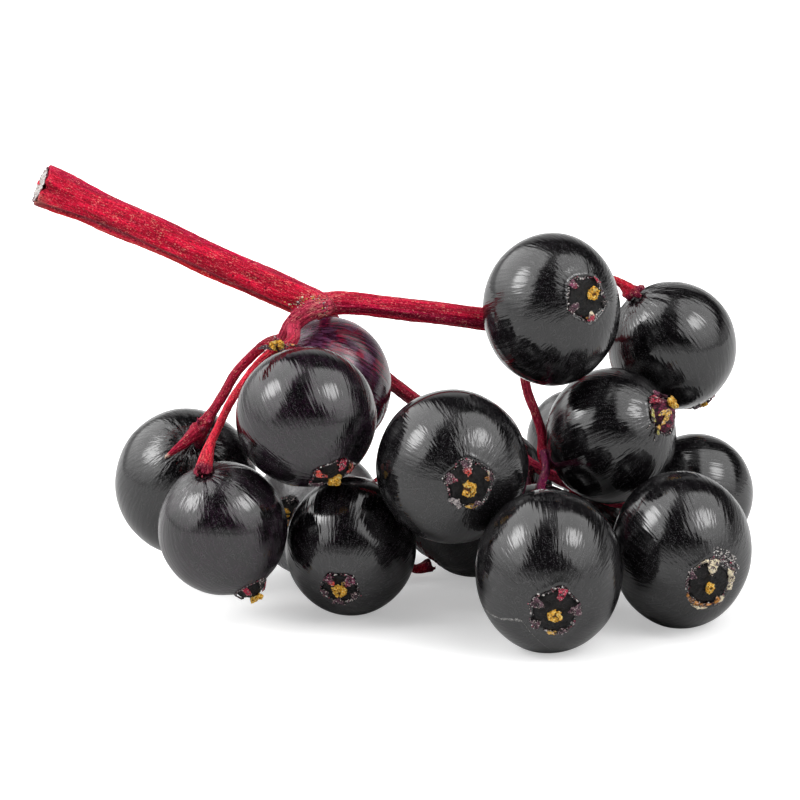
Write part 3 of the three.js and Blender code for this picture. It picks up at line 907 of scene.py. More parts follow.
def pedicel_stalk(berry, parents):
    """A berry's pedicel, running straight through the collar where it widens."""
    route, radii = berry.pedicel
    widest, length = berry.traits.collar
    steps = np.linalg.norm(np.diff(route, axis=0), axis=1)
    to_end = np.append(np.cumsum(steps[::-1])[::-1], 0)
    collar = radii.min() + (widest - radii.min()) * np.clip(1 - to_end / length, 0, 1)
    straight = (to_end > 0.85 * length) | (to_end == 0)
    radii = np.maximum(radii, collar)[straight] * THICKER.get(f"pedicel_{berry.label}", 1.0)
    return Stalk(f"pedicel_{berry.label}", route[straight], radii, parents)


def read_stalks(berries, flower):
    """All stalks, each after the one it grows from. Pedicels grow from rays only."""
    far_right = np.array([100.0, 0, 0])
    stem = Stalk("main_stem", *ring_route("main_stem", far_right), [])
    right_ray = Stalk("right_ray", *ring_route("right_ray", far_right), [stem])
    outer, _ = ring_route("left_ray", LEFT_RAY_END)
    strap = np.vstack([stem.centres[-1] + np.array(STRAP_ROUTE), outer[-1]])
    left_ray = Stalk("left_ray", strap, np.array(STRAP_RADII), [stem], STRAP_FLATNESS)
    rear_ray = Stalk("rear_ray", *ring_route("rear_ray", far_right), [stem])
    route, radii = ring_route("lower_ray", LOWER_RAY_END)
    lower_ray = Stalk("lower_ray", route, radii * THICKER["lower_ray"], [right_ray])
    rays = [stem, right_ray, left_ray, rear_ray, lower_ray]
    stalks = rays + [pedicel_stalk(berry, rays) for berry in berries]
    low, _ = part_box("flower_stub")
    tip = np.array([low.x, low.y, low.z]) / MM
    stalks.append(Stalk("flower_stub", *ring_route("flower_stub", tip), stalks[:]))
    stalks.append(Stalk("flower_stalk", *ring_route("flower_stalk", flower.centre), rays))
    return stalks


def voxel_union(points, faces, voxel):
    """The outside of overlapping closed shapes as one mesh."""
    mesh = make_mesh("union", points, faces)
    holder = bpy.data.objects.new("union", mesh)
    bpy.context.scene.collection.objects.link(holder)
    remesh = holder.modifiers.new("remesh", "REMESH")
    remesh.mode = "VOXEL"
    remesh.voxel_size = voxel
    relax = holder.modifiers.new("relax", "SMOOTH")
    relax.factor = 0.5
    relax.iterations = 3
    depsgraph = bpy.context.evaluated_depsgraph_get()
    result = holder.evaluated_get(depsgraph).to_mesh()
    count = len(result.vertices)
    joined = np.empty(count * 3)
    result.vertices.foreach_get("co", joined)
    normals = np.empty(count * 3)
    result.vertex_normals.foreach_get("vector", normals)
    quads = [tuple(p.vertices) for p in result.polygons]
    bpy.data.objects.remove(holder)
    bpy.data.meshes.remove(mesh)
    return joined.reshape(-1, 3), normals.reshape(-1, 3), quads


def collar_knobs(berry):
    """Small bracts and crumbs of bark where a pedicel meets its berry."""
    points, faces = ball(2)
    axis = unit(berry.seat / berry.size)
    side = unit(np.cross(axis, [0.3, 0.2, 1.0]))
    other = np.cross(axis, side)
    route = berry.pedicel[0][::-1]
    back = unit(route[1] - route[0])
    shapes = []
    for _ in range(berry.traits.knobs):
        angle = berry.rng.uniform(0, 2 * np.pi)
        out = math.cos(angle) * side + math.sin(angle) * other
        rise = berry.rng.uniform(0.0, 1.0) ** 1.3 * berry.traits.knob_rise
        widest, length = berry.traits.collar
        reach = widest - 0.17 * min(rise / length, 1) + berry.rng.uniform(-0.08, 0.04)
        place = berry.seat_point + out * reach + back * rise
        stretch = berry.rng.uniform(*KNOB_SIZES, 3) * berry.traits.knob_size
        shapes.append((points * stretch + place, faces))
    if berry.number == BRACT_BERRY:
        shapes.append((points * BRACT_SIZE + berry.seat_point + BRACT_PLACE, faces))
    return shapes


# Linear colours of the bark, some brightened or darkened as painted light and shade.
CRIMSON = np.array([0.84, 0.005, 0.042])
BARK = {
    "main_stem": CRIMSON,
    "right_ray": np.array([0.74, 0.006, 0.045]),
    "left_ray": np.array([0.66, 0.035, 0.09]),
    "rear_ray": np.array([0.46, 0.005, 0.035]),
    "lower_ray": np.array([0.56, 0.018, 0.06]),
    "flower_stub": np.array([0.5, 0.006, 0.04]),
    "flower_stalk": np.array([0.6, 0.02, 0.06]),
    "pedicel_02": np.array([0.66, 0.006, 0.03]),
    # Painted light: these two pedicels are brightened, where they lie in shade.
    "pedicel_04": np.array([0.8, 0.03, 0.09]),
    "pedicel_05": np.array([0.8, 0.03, 0.09]),
    # Dark purple: partly the pedicel's own colour, partly painted shade.
    "pedicel_06": np.array([0.2, 0.008, 0.07]),
    "pedicel_10": np.array([0.55, 0.012, 0.05]),
    "pedicel_11": np.array([1.0, 0.025, 0.06]),
    "pedicel_16": np.array([0.06, 0.005, 0.02]),
}
MAGENTA = np.array([0.6, 0.006, 0.075])
SCARLET = np.array([0.85, 0.008, 0.012])
GROOVE_BROWN = np.array([0.15, 0.035, 0.05])
MAROON = np.array([0.2, 0.004, 0.03])
KNOB_PURPLE = np.array([0.22, 0.012, 0.06])
CUT_BROWN = np.array([0.5, 0.14, 0.12])
BROKEN = np.array([0.75, 0.5, 0.42])
# These two colours are painted light: bark brightened where it lies in shade.
PAINTED_LIGHT_ROSE = np.array([0.9, 0.05, 0.14])
PAINTED_LIGHT_RED = np.array([1.0, 0.015, 0.06])

# From the stem's end: the middle of the crumbly bark, and its crumbs, with where they are,
# how widely spread, and how many.
CRUMBLY_PLACE = np.array([0.2, -0.6, 0.3])
FORK_CRUMBS = [
    ((-0.75, -0.72, 0.3), np.array([0.22, 0.05, 0.1]), 26),
    ((0.05, -0.7, 0.5), np.array([0.3, 0.06, 0.07]), 26),
    ((0.45, -0.6, 0.0), np.array([0.07, 0.06, 0.22]), 20),
]

# Ribs run round a stalk: how many, how deep, and how they turn along it.
RIB_WAVES = [(3, 0.8, 0.22), (5, 0.7, -0.17), (7, 0.8, 0.12), (9, 0.6, -0.2), (13, 0.5, 0.1)]
STRAP_WAVES = [(8, 1.2, 0.0), (12, 0.9, 0.05), (3, 0.4, 0.1)]


def groove(angle, at, width):
    """How far into a lengthwise groove a point is, from 0 to 1."""
    turn = np.abs((angle - at + np.pi) % (2 * np.pi) - np.pi)
    return np.exp(-(turn / width) ** 2)


def blend(colours, other, share):
    return colours + (other - colours) * np.asarray(share)[:, None]


def stalk_relief(stalk, angle, along, radius):
    """How far a stalk's surface is raised in millimetres, and its bark colour, with painted
    shade and painted light in it.
    """
    waves = STRAP_WAVES if stalk.name == "left_ray" else RIB_WAVES
    ribs = sum(a * np.cos(k * angle + w * along * 6 + k * 1.7) for k, a, w in waves) / 2
    lift = RIB_DEPTH * radius * ribs
    bark = np.tile(BARK.get(stalk.name, CRIMSON * 0.8), (len(angle), 1))
    # Painted shade and light: the bark is darker in the rib valleys and lighter on the ridges.
    bark = bark * (0.85 + 0.3 * np.clip(ribs, -1, 1))[:, None]
    to_end = stalk.along[-1] - along
    if stalk.name == "main_stem":
        wander = 2.3 + 0.1 * np.sin(along * 0.5 + 2)
        cleft = groove(angle, wander, 0.12)
        lift = lift - 0.11 * radius * cleft - 0.03 * groove(angle, 1.4, 0.1) * radius
        bark = blend(bark, SCARLET, smooth_step(2.35, 2.6, np.abs(angle)) * 0.8)
        # Painted sheen: the top of the stem is tinted magenta.
        bark = blend(bark, MAGENTA, smooth_step(0.75, 0.25, np.abs(angle)) * 0.45)
        bark = blend(bark, GROOVE_BROWN, cleft * 0.85)
        below_cut = smooth_step(0.8, 0.0, along) * smooth_step(1.5, 2.6, np.abs(angle))
        bark = blend(bark, CUT_BROWN, below_cut)
    elif stalk.name == "right_ray":
        cleft = groove(angle, 1.5, 0.1)
        # Painted shade: a maroon band darkens the lower front of the ray.
        band = smooth_step(1.45, 1.7, angle) * smooth_step(2.5, 2.25, angle)
        lift = lift - 0.07 * radius * cleft
        bark = blend(bark, MAROON, band * 0.7)
        bark = blend(bark, MAGENTA * 1.3, cleft * 0.5)
        # Painted light: the rib at the bottom, which faces down, is brightened.
        bark = blend(bark, PAINTED_LIGHT_RED, smooth_step(2.1, 2.4, angle) * smooth_step(3.1, 2.9, angle))
    elif stalk.name == "lower_ray":
        # Painted shade: near-black in the groove along the ray.
        bark = blend(bark, MAROON * 0.2, groove(angle, -1.9, 0.45) * 0.9)
        lift = lift - 0.1 * radius * groove(angle, -1.9, 0.35)
    elif stalk.name == "flower_stalk":
        bark = blend(bark, BARK["left_ray"], smooth_step(0.7, 1.1, to_end))
    elif stalk.name == "rear_ray":
        # Painted light: the outer end of the rear ray is brightened, where it lies in shade.
        bark = blend(bark, PAINTED_LIGHT_ROSE, smooth_step(5.5, 3.5, to_end))
    elif stalk.name == "flower_stub":
        bark = blend(bark, BROKEN, smooth_step(0.35, 0.1, to_end))
    elif stalk.name.startswith("pedicel_"):
        bark = blend(bark, KNOB_PURPLE * 0.5, smooth_step(0.4, 0.12, to_end) * 0.85)
    return lift, bark


def nearest_relief(stalks, points):
    """For every point, what the stalk with the nearest surface gives it: its grain, lift and
    bark, how far off that surface is, and how much farther off the next stalk's is."""
    best = np.full(len(points), np.inf)
    second = np.full(len(points), np.inf)
    grain = np.zeros((len(points), 3))
    lift = np.zeros(len(points))
    bark = np.zeros((len(points), 3))
    for number, stalk in enumerate(stalks):
        reach = stalk.radii.max() * 2.2
        above = points > stalk.centres.min(axis=0) - reach
        below = points < stalk.centres.max(axis=0) + reach
        index = np.flatnonzero(np.all(above & below, axis=1))
        squared = ((points[index, None, :] - stalk.centres[None, :, :]) ** 2).sum(axis=2)
        nearest = squared.argmin(axis=1)
        miss = np.sqrt(squared[np.arange(len(index)), nearest]) - stalk.radii[nearest]
        closer = miss < best[index]
        second[index] = np.where(closer, best[index], np.minimum(second[index], miss))
        mine = index[closer]
        ring = nearest[closer]
        best[mine] = miss[closer]
        offset = points[mine] - stalk.centres[ring]
        across = (offset * stalk.normals[ring]).sum(axis=1)
        beside = (offset * stalk.sides[ring]).sum(axis=1)
        grain[mine] = np.stack([across, beside, stalk.along[ring] + 20.0 * number], axis=1)
        angle = np.arctan2(beside / stalk.flatness, across)
        lift[mine], bark[mine] = stalk_relief(stalk, angle, stalk.along[ring], stalk.radii[ring])
    return grain, lift, bark, best, second - best


def build_stalks(berries, flower, tissue):
    """Every stalk joined in one mesh, ribbed lengthwise, with crumbs at its fork."""
    stalks = read_stalks(berries, flower)
    shapes = [stalk.tube() for stalk in stalks]
    for berry in berries:
        shapes.extend(collar_knobs(berry))
    points, faces = join_shapes(shapes)
    points, normals, quads = voxel_union(points, faces, VOXEL)
    grain, lift, bark, miss, lead = nearest_relief(stalks, points)

    # Relief fades where two stalks meet. What lies off every stalk is a knob.
    lift = lift * smooth_step(0.02, 0.2, lead) + 0.014 * noise_at(points, 3.2, 5)
    knobby = smooth_step(0.06, 0.16, miss) * 0.8
    bark = blend(bark, KNOB_PURPLE, knobby)
    fork = stalks[0].centres[-1]
    from_fork = np.linalg.norm(points - fork - CRUMBLY_PLACE, axis=1)
    crumbly = np.maximum(smooth_step(1.3, 0.5, from_fork), knobby)
    points = points + normals * lift[:, None]
    points[:, 2] = np.maximum(points[:, 2], SURFACE_CLEARANCE)
    build_fork_crumbs(points[normals[:, 1] < -0.2], fork, tissue)
    make_piece(
        "stalks", points, quads, stalk_material(), "stalk", [stalk.name for stalk in stalks],
        grain=grain, bark=bark, crumbly=crumbly,
    )
    return stalks


def build_fork_crumbs(surface, fork, material):
    """Pale and brown crumbs of bark on the surface where the stem forks."""
    rng = np.random.default_rng(21)
    ball_points, ball_faces = ball(1)
    shapes, tones = [], []
    for place, spread, count in FORK_CRUMBS:
        for _ in range(count):
            wanted = fork + np.array(place) + rng.normal(0, 1, 3) * spread
            middle = surface[np.linalg.norm((surface - wanted) * [1, 0.3, 1], axis=1).argmin()]
            size = rng.uniform(0.02, 0.055)
            shapes.append((ball_points * rng.uniform(0.6, 1.4, 3) * size + middle, ball_faces))
            tone = TONES[rng.choice(["white", "cream", "dull", "gold", "rosy"])]
            tones.append(np.tile(tone, (len(ball_points), 1)))
    points, faces = join_shapes(shapes)
    make_piece(
        "fork_crumbs", points, faces, material, "stalk", place=points,
        edge=np.zeros(len(points)), tone=np.vstack(tones),
    )


def build_pith(stem):
    """The ragged pale face of the cut end, in rings from its edge to its middle."""
    rings, sides = 14, 72
    rise, depth, roughness = 0.02, 0.12, 0.025
    middle = stem.centres[0]
    out = -stem.tangents[0]
    rng = np.random.default_rng(3)
    ragged = 1 + 0.04 * rng.standard_normal(sides)
    points, edge = [], []
    for ring in range(rings):
        share = 1 - ring / rings
        for (cos, sin), rag in zip(circle(sides), ragged):
            reach = stem.radii[0] * 0.86 * share * (rag if ring < 3 else 1)
            height = rise + roughness * rng.standard_normal() - CUT_SLANT * sin * reach
            offset = cos * stem.normals[0] + sin * stem.sides[0]
            points.append(middle + reach * offset + out * height)
            edge.append(smooth_step(0.84, 1.0, share))
    points.extend([middle - out * depth, middle + out * rise])
    edge.extend([1.0, 0.0])
    points = np.array(points)
    make_piece(
        "cut_pith", points, tube_faces(rings, sides), pith_material(), "stalk",
        place=points, edge=edge,
    )


# ---- the berries ---------------------------------------------------------------------------
CRUMBS = 150                      # crumbs of torn tissue round a crown
SPLIT_BERRY = 6                   # the berry with a split in its skin
SPLIT_START = (-0.9, -0.4)        # the split's ends, across and up from the berry's front
SPLIT_END = (-0.39, -0.385)
SPLIT_CLOSING = 15                # how fast the split closes past its ends
NO_SPLIT = 9.0                    # millimetres from any split
BLUSH_SIDE = unit(np.array([0.1, -0.2, 1.0]))     # where a flushed berry is reddest


def ring_wobble(berry, turn):
    """How much farther out than its ring a crown reaches at each angle round it, as a share.
    It has a corner at each sepal."""
    around = np.stack([np.cos(turn), np.sin(turn), 0 * turn], axis=1)
    wobble = 0.05 * noise_at(around, 2.2, berry.number)
    for sepal in berry.traits.sepals:
        away = np.abs((turn - math.radians(sepal.angle) + np.pi) % (2 * np.pi) - np.pi)
        wobble = wobble + CORNER_REACH * np.exp(-(away / 0.3) ** 2)
    return wobble - 0.05


def skin_rows(ring):
    """Angles from the crown's axis for the rows of a skin, close together at its features."""
    return np.concatenate([
        np.linspace(0.04, ring - 0.05, 6),
        np.linspace(ring - 0.035, ring + 0.1, 15),
        np.linspace(ring + 0.13, np.pi - 0.42, 72),
        np.linspace(np.pi - 0.39, np.pi - 0.03, 14),
    ])


def lean_to_seat(directions, t, berry):
    """Lean the rows over, so that the last one closes round the pedicel."""
    axis = np.cross(-berry.crown, berry.seat)
    lean = math.asin(min(np.linalg.norm(axis), 1))
    if lean < 1e-3:
        return directions
    axis = unit(axis)
    amount = (lean * smooth_step(0.5, np.pi, t))[:, None]
    along = (directions @ axis)[:, None] * axis
    return (
        directions * np.cos(amount)
        + np.cross(axis, directions) * np.sin(amount)
        + along * (1 - np.cos(amount))
    )


def split_distance(berry, directions):
    """Millimetres from the split in a berry's skin."""
    start, end = [
        unit(np.array([x, -math.sqrt(max(1 - x * x - z * z, 0.0)), z]))
        for x, z in (SPLIT_START, SPLIT_END)
    ]
    across = unit(np.cross(start, end))
    along = unit(np.cross(across, start))
    turn = np.arctan2(directions @ along, directions @ start)
    length = math.acos(np.clip(start @ end, -1, 1))
    past = np.maximum(np.maximum(-turn, turn - length), 0)
    return (directions @ across) * berry.radius + SPLIT_CLOSING * past


def skin_reach(berry, ring, t, turn, directions):
    """How far a skin reaches out from a berry's centre, in shares of its radius: nearly 1,
    with shallow wrinkles, a dimple at the pedicel, a lip round the crown and a flat in it."""
    reach = 1 + UNEVENNESS * noise_at(directions, 1.3, berry.number)
    furrow_place = np.stack([np.cos(turn) * 7, np.sin(turn) * 7, t * 0.8], axis=1)
    furrows = noise_at(furrow_place, 1.0, berry.number + 40)
    near_seat = smooth_step(np.pi - 0.9, np.pi - 0.15, t)
    near_crown = smooth_step(ring + 0.45, ring, t)
    strength = WRINKLE * berry.traits.wrinkled * (0.13 + 1.6 * near_seat + 0.6 * near_crown)
    reach += strength * furrows * smooth_step(np.pi, np.pi - 0.2, t)
    reach -= SEAT_DIMPLE * np.exp(-((np.pi - t) / SEAT_WIDTH) ** 2)
    beyond = t - ring * (1 + ring_wobble(berry, turn))
    reach += LIP_HEIGHT * np.exp(-((beyond - LIP_PLACE) / LIP_WIDTH) ** 2)
    floor = (berry.rim - CROWN_DEPTH) / np.maximum(np.cos(t), 0.5)
    inside = smooth_step(0.022, -0.008, beyond)
    return reach * (1 - inside) + floor * inside


def build_skin(berry, material):
    """A berry's skin: a slightly uneven ellipsoid in rows round the axis of its crown. t is
    the angle from that axis, and turn the angle round it."""
    ring = math.asin(berry.traits.ring)
    rows = skin_rows(ring)
    angles = np.linspace(0, 2 * np.pi, SKIN_SIDES, endpoint=False)
    t, turn = np.meshgrid(rows, angles, indexing="ij")
    t = np.concatenate([t.ravel(), [0.0, np.pi]])
    turn = np.concatenate([turn.ravel(), [0.0, 0.0]])
    right, rise = upright_axes(berry.crown)
    directions = (
        (np.sin(t) * np.cos(turn))[:, None] * right
        + (np.sin(t) * np.sin(turn))[:, None] * rise
        + np.cos(t)[:, None] * berry.crown
    )
    directions = lean_to_seat(directions, t, berry)
    reach = skin_reach(berry, ring, t, turn, directions)
    points = berry.centre + berry.size * directions * reach[:, None]
    points[:, 2] = np.maximum(points[:, 2], 0.0)

    # Lines of the grain close up towards the crown and the pedicel, and differ by berry.
    spread = np.maximum(np.sin(t), 0) ** 0.3
    along = t + 3 * berry.number
    grain = np.stack([np.cos(turn) * spread, np.sin(turn) * spread, along], axis=1)
    split = np.full(len(points), NO_SPLIT)
    if berry.number == SPLIT_BERRY:
        split = split_distance(berry, directions)
    make_piece(
        f"skin_{berry.label}", points, tube_faces(len(rows), SKIN_SIDES), material, "berry_skin",
        [f"berry_{berry.label}"], grain=grain * berry.radius / 3, place=points,
        tint=np.full(len(points), berry.traits.tint),
        # A painted grey highlight near the crown, where a berry has one.
        dusty=berry.traits.dusty * smooth_step(2.3, 1.1, t),
        blush=berry.traits.blush * smooth_step(-0.2, 0.95, directions @ BLUSH_SIDE), split=split,
    )


def build_disc(berry, material):
    """The dark disc inside the crown: a low dome with a soft step at its middle."""
    rings, sides = 18, 64
    angles = np.linspace(0, 2 * np.pi, sides, endpoint=False)
    ragged = 1 + ring_wobble(berry, angles)
    across, up, out = [], [], []
    foot = berry.rim - CROWN_DEPTH
    for ring in range(rings):
        share = 1 - ring / rings
        reach = berry.traits.ring * 0.93 * share * ragged
        edge = 0.02 * smooth_step(1.0, 0.85, share)
        dome = berry.traits.dome * (1 - share ** 2) + 0.014 * smooth_step(0.36, 0.2, share)
        across.append(np.cos(angles) * reach)
        up.append(np.sin(angles) * reach)
        out.append(np.full(sides, foot + 0.006 + dome + edge))
    across = np.concatenate([np.ravel(across), [0, 0]])
    up = np.concatenate([np.ravel(up), [0, 0]])
    out = np.concatenate([np.ravel(out), [foot - 0.012, foot + 0.03 + berry.traits.dome]])
    out = out + 0.016 * noise_at(np.stack([across, up, out], axis=1), 12.0, berry.number, 3)
    points = berry.crown_point(across, up, out)
    make_piece(
        f"disc_{berry.label}", points, tube_faces(rings, sides), material, "calyx",
        [f"calyx_{berry.label}"], place=points, purple=np.full(len(points), berry.traits.purple),
    )


def crumple(points, amount, berry, scale=18.0):
    """Points moved about by noise, for torn dry tissue."""
    seed = berry.rng.uniform(0, 90)
    shift = [noise_at(points, scale, seed + axis, 3) for axis in range(3)]
    return points + amount * np.stack(shift, axis=1)


def plain_tone(points, tone):
    return np.tile(TONES[tone], (len(points), 1))


def sepal_shape(berry, sepal):
    """One dried sepal as a thin closed leaf, with how near its edge each point is and its
    tone there."""
    stations, sides = 14, 14
    length = SEPAL_LENGTH * sepal.length * berry.rng.uniform(0.9, 1.1)
    width = SEPAL_WIDTH * sepal.width * berry.rng.uniform(0.9, 1.1)
    base = berry.traits.ring * 1.06
    level = berry.rim + 0.008
    points, edge = [], []
    for station in range(stations):
        v = station / (stations - 1)
        slope = (1 - sepal.stand) * length * v
        dome = berry.traits.dome * (1 - (1 - slope / base) ** 2)
        height = level + dome + 0.022 * math.sin(v * math.pi) + length * v * sepal.stand
        half = width * (1.0 - 0.55 * v) * (1 - v ** 6) + 0.002
        for cos, sin in circle(sides):
            across = half * cos
            cup = 0.2 * across * across / width
            points.append((across, base - slope, height + cup + SEPAL_THICKNESS * sin))
            edge.append(max(abs(cos) ** 3, v ** 4))
    points.append((0, base, level))
    points.append((0, base - (1 - sepal.stand) * length, points[-2][2]))
    edge.extend([0, 1])
    share = np.append(np.repeat(np.linspace(0, 1, stations), sides), [0, 1])
    tipped = smooth_step(0.35, 0.75, share)
    tone = blend(plain_tone(points, sepal.tone), TONES[sepal.tip or sepal.tone], tipped)
    points = crumple(np.array(points), 0.022, berry)
    angle = math.radians(sepal.angle)
    across = points[:, 0] * math.sin(angle) + points[:, 1] * math.cos(angle)
    up = -points[:, 0] * math.cos(angle) + points[:, 1] * math.sin(angle)
    shape = berry.crown_point(across, up, points[:, 2])
    return shape, tube_faces(stations, sides), np.array(edge), tone


def strip_shape(berry, points, sides, tone, crumpling):
    """A closed strip from the rings of its points and the middles of its two ends."""
    points = crumple(np.array(points), crumpling, berry)
    shape = berry.crown_point(points[:, 0], points[:, 1], points[:, 2])
    edge = np.abs(np.cos(np.arange(len(points)) * 2 * np.pi / sides)) ** 3
    stations = len(points) // sides
    return shape, tube_faces(stations, sides), edge, plain_tone(points, tone)


def flake_shape(berry, flake):
    """A strip of torn tissue along the ring, with ragged edges."""
    span = math.radians(flake.end - flake.start)
    stations = max(8, int(abs(span) * 14))
    sides = 10
    middle = berry.traits.ring * flake.radius
    level = berry.rim + 0.01 + berry.traits.dome * (1 - min(flake.radius, 1) ** 2) + flake.rise
    shares = np.linspace(0, 1, stations)
    angles = shares * span + math.radians(flake.start)
    points = []
    for share, angle in zip(shares, angles):
        taper = (1 - abs(2 * share - 1) ** 4) * berry.rng.uniform(0.75, 1.2)
        for cos, sin in circle(sides):
            reach = middle + STRIP_WIDTH * flake.width * taper * cos
            height = level + FLAKE_THICKNESS * taper * sin
            points.append((math.cos(angle) * reach, math.sin(angle) * reach, height))
    for angle in (angles[0], angles[-1]):
        points.append((math.cos(angle) * middle, math.sin(angle) * middle, level))
    return strip_shape(berry, points, sides, flake.tone, 0.018)


def flap_shape(berry, flap):
    """A torn strip along its own route."""
    stations, sides = 8 * (len(flap.route) - 1) + 1, 10
    knots = np.linspace(0, 1, len(flap.route))
    places = np.array(flap.route)
    share = np.linspace(0, 1, stations)
    middles = np.stack([np.interp(share, knots, places[:, k]) for k in range(3)], axis=1)
    forward = np.gradient(middles, axis=0)[:, :2]
    aside = np.stack([-forward[:, 1], forward[:, 0], 0 * share], axis=1)
    aside /= np.linalg.norm(aside, axis=1)[:, None]
    outwards = np.array([0, 0, 0.4])
    points = []
    for v, middle, across in zip(share, middles, aside):
        taper = (1 - abs(2 * v - 1) ** 6) * berry.rng.uniform(0.75, 1.2)
        half = STRIP_WIDTH * flap.width * taper + 0.001
        for cos, sin in circle(sides):
            points.append(middle + half * (across * cos + outwards * sin))
    points.extend([middles[0], middles[-1]])
    return strip_shape(berry, points, sides, flap.tone, 0.012 * min(flap.width, 1))


def crumb_shapes(berry):
    """Crumbs of torn tissue along the ring, and a patch of granules beside it on some. Those
    that lie off the ring are white; the white crumbs on the ring are partly painted glints."""
    ball_points, ball_faces = ball(1)
    crumbs = []
    for _ in range(CRUMBS):
        angle = berry.rng.uniform(0, 2 * math.pi)
        edge = berry.traits.ring * (1 + ring_wobble(berry, np.array([angle]))[0])
        crumbs.append((angle, edge * berry.rng.normal(1.0, 0.045), berry.rim + 0.003))
    if berry.traits.granules:
        start, end, count = berry.traits.granules
        for _ in range(count):
            angle = math.radians(berry.rng.uniform(start, end))
            reach = berry.traits.ring * berry.rng.uniform(1.05, 1.55)
            crumbs.append((angle, reach, math.sqrt(1 - min(reach, 0.7) ** 2) + 0.006))
    for angle, reach, height in crumbs:
        size = berry.rng.uniform(*CRUMB_SIZES)
        local = ball_points * berry.rng.uniform(0.5, 1.5, 3) * size
        across = reach * math.cos(angle) + local[:, 0]
        up = reach * math.sin(angle) + local[:, 1]
        # White crumbs on the ring are partly torn tissue and partly painted glints.
        tone = berry.rng.choice(["dull", "white", "pale", "rosy", "white"])
        if height > berry.rim + 0.003 or reach > berry.traits.ring * 1.3:
            tone = "white"
        shape = berry.crown_point(across, up, height + local[:, 2])
        yield shape, ball_faces, np.zeros(len(shape)), plain_tone(shape, tone)


def build_sepals(berry, material):
    """The dried sepals, torn flakes and flaps, and crumbs round the crown."""
    shapes = [sepal_shape(berry, sepal) for sepal in berry.traits.sepals]
    shapes.extend(flake_shape(berry, flake) for flake in berry.traits.flakes)
    shapes.extend(flap_shape(berry, flap) for flap in berry.traits.flaps)
    shapes.extend(crumb_shapes(berry))
    points, faces = join_shapes([shape[:2] for shape in shapes])
    make_piece(
        f"sepals_{berry.label}", points, faces, material, "calyx", place=points,
        edge=np.concatenate([shape[2] for shape in shapes]),
        tone=np.vstack([shape[3] for shape in shapes]),
    )


def build_stigma(berry, material, nodes=()):
    """A lumpy golden horseshoe round a gap in its middle, on a short stump, with painted shade
    on its inner side and on the stump.
    """
    stations, sides = 72, 26
    size = berry.traits.stigma_size
    middle = np.array([*berry.traits.stigma_at, 0])
    gap = math.radians(berry.traits.stigma_gap) / 2
    turn = math.radians(berry.traits.stigma_turn)
    top = berry.rim + 0.045 + berry.traits.dome
    points, hollow = [], []
    for station in range(stations):
        v = station / (stations - 1)
        angle = gap + (2 * math.pi - 2 * gap) * v
        path = STIGMA_RADIUS * size * (1 + 0.2 * math.cos(3 * angle))
        tube = STIGMA_TUBE * size * (1 - abs(2 * v - 1) ** 8) ** 0.5 + 0.002
        across, up = math.cos(angle + turn), math.sin(angle + turn)
        for cos, sin in circle(sides):
            reach = path + tube * cos
            points.append((reach * across, reach * up, top + tube * 0.9 * sin))
            # Painted shade on the inner side of the horseshoe.
            hollow.append(smooth_step(-0.45, -0.95, cos))
    ends = [np.mean(points[:sides], axis=0), np.mean(points[-sides:], axis=0)]
    points = np.vstack([points, ends])
    hollow.extend([0, 0])
    points = crumple(points, 0.024 * size, berry, 15.0)
    points = crumple(points, 0.012 * size, berry, 42.0) + middle
    ring = berry.crown_point(points[:, 0], points[:, 1], points[:, 2])
    ball_points, ball_faces = ball(3)
    stump = ball_points * STUMP_SIZE * size + middle
    foot = berry.crown_point(stump[:, 0], stump[:, 1], top - 0.05 + stump[:, 2])
    points, faces = join_shapes([(ring, tube_faces(stations, sides)), (foot, ball_faces)])
    # The stump is painted shade all over.
    hollow = np.concatenate([hollow, np.ones(len(foot))])
    make_piece(
        f"stigma_{berry.label}", points, faces, material, "calyx", nodes,
        place=points, hollow=hollow,
    )


# ---- surface, light and camera -------------------------------------------------------------
# In metres, as in the scene.
FLOOR_HALF = 3.0
SHADOW_MIDDLE = (0.0045, 0.0, 0)
SHADOW_REACH = (0.006, 0.0212)    # where the shadow starts to fade and where it is gone
OWN_WHITE = 0.38                  # how much the floor shows of its own white near the spray


def build_floor():
    """The white surface. It is shown whiter than it is lit, less so where the shadow lies."""
    mesh = make_mesh("surface", [
        (-FLOOR_HALF, -FLOOR_HALF, 0), (FLOOR_HALF, -FLOOR_HALF, 0),
        (FLOOR_HALF, FLOOR_HALF, 0), (-FLOOR_HALF, FLOOR_HALF, 0),
    ], [(0, 1, 2, 3)])
    material, maker, shader = new_material("white_surface")
    shader.inputs["Base Color"].default_value = (0.7, 0.7, 0.7, 1)
    shader.inputs["Roughness"].default_value = 0.8
    shader.inputs["Specular IOR Level"].default_value = 0.1
    place = maker.add("ShaderNodeNewGeometry").outputs["Position"]
    offset = maker.add("ShaderNodeVectorMath", operation="DISTANCE")
    maker.link(place, offset.inputs[0])
    offset.inputs[1].default_value = SHADOW_MIDDLE
    far = maker.ramp(offset.outputs["Value"], *SHADOW_REACH, OWN_WHITE, 1.0)
    path = maker.add("ShaderNodeLightPath")
    shown = maker.times(far, path.outputs["Is Camera Ray"])
    shader.inputs["Emission Color"].default_value = (1, 1, 1, 1)
    maker.link(shown, shader.inputs["Emission Strength"])
    mesh.materials.append(material)
    floor = bpy.data.objects.new("surface", mesh)
    bpy.context.scene.collection.objects.link(floor)


# The two soft boxes, by the directions of their corners as seen from the spray.
LEFT_BOX = [
    (-0.90, 0.43, 0.03), (-0.42, 0.85, 0.30), (-0.08, 0.09, 0.99), (-0.60, -0.66, 0.44),
    (-0.84, -0.54, 0.03),
]
RIGHT_BOX = [
    (0.135, -0.72, 0.675), (0.78, -0.62, 0.05), (0.97, -0.05, 0.1), (0.60, 0.45, 0.62),
    (0.10, 0.18, 0.98),
]
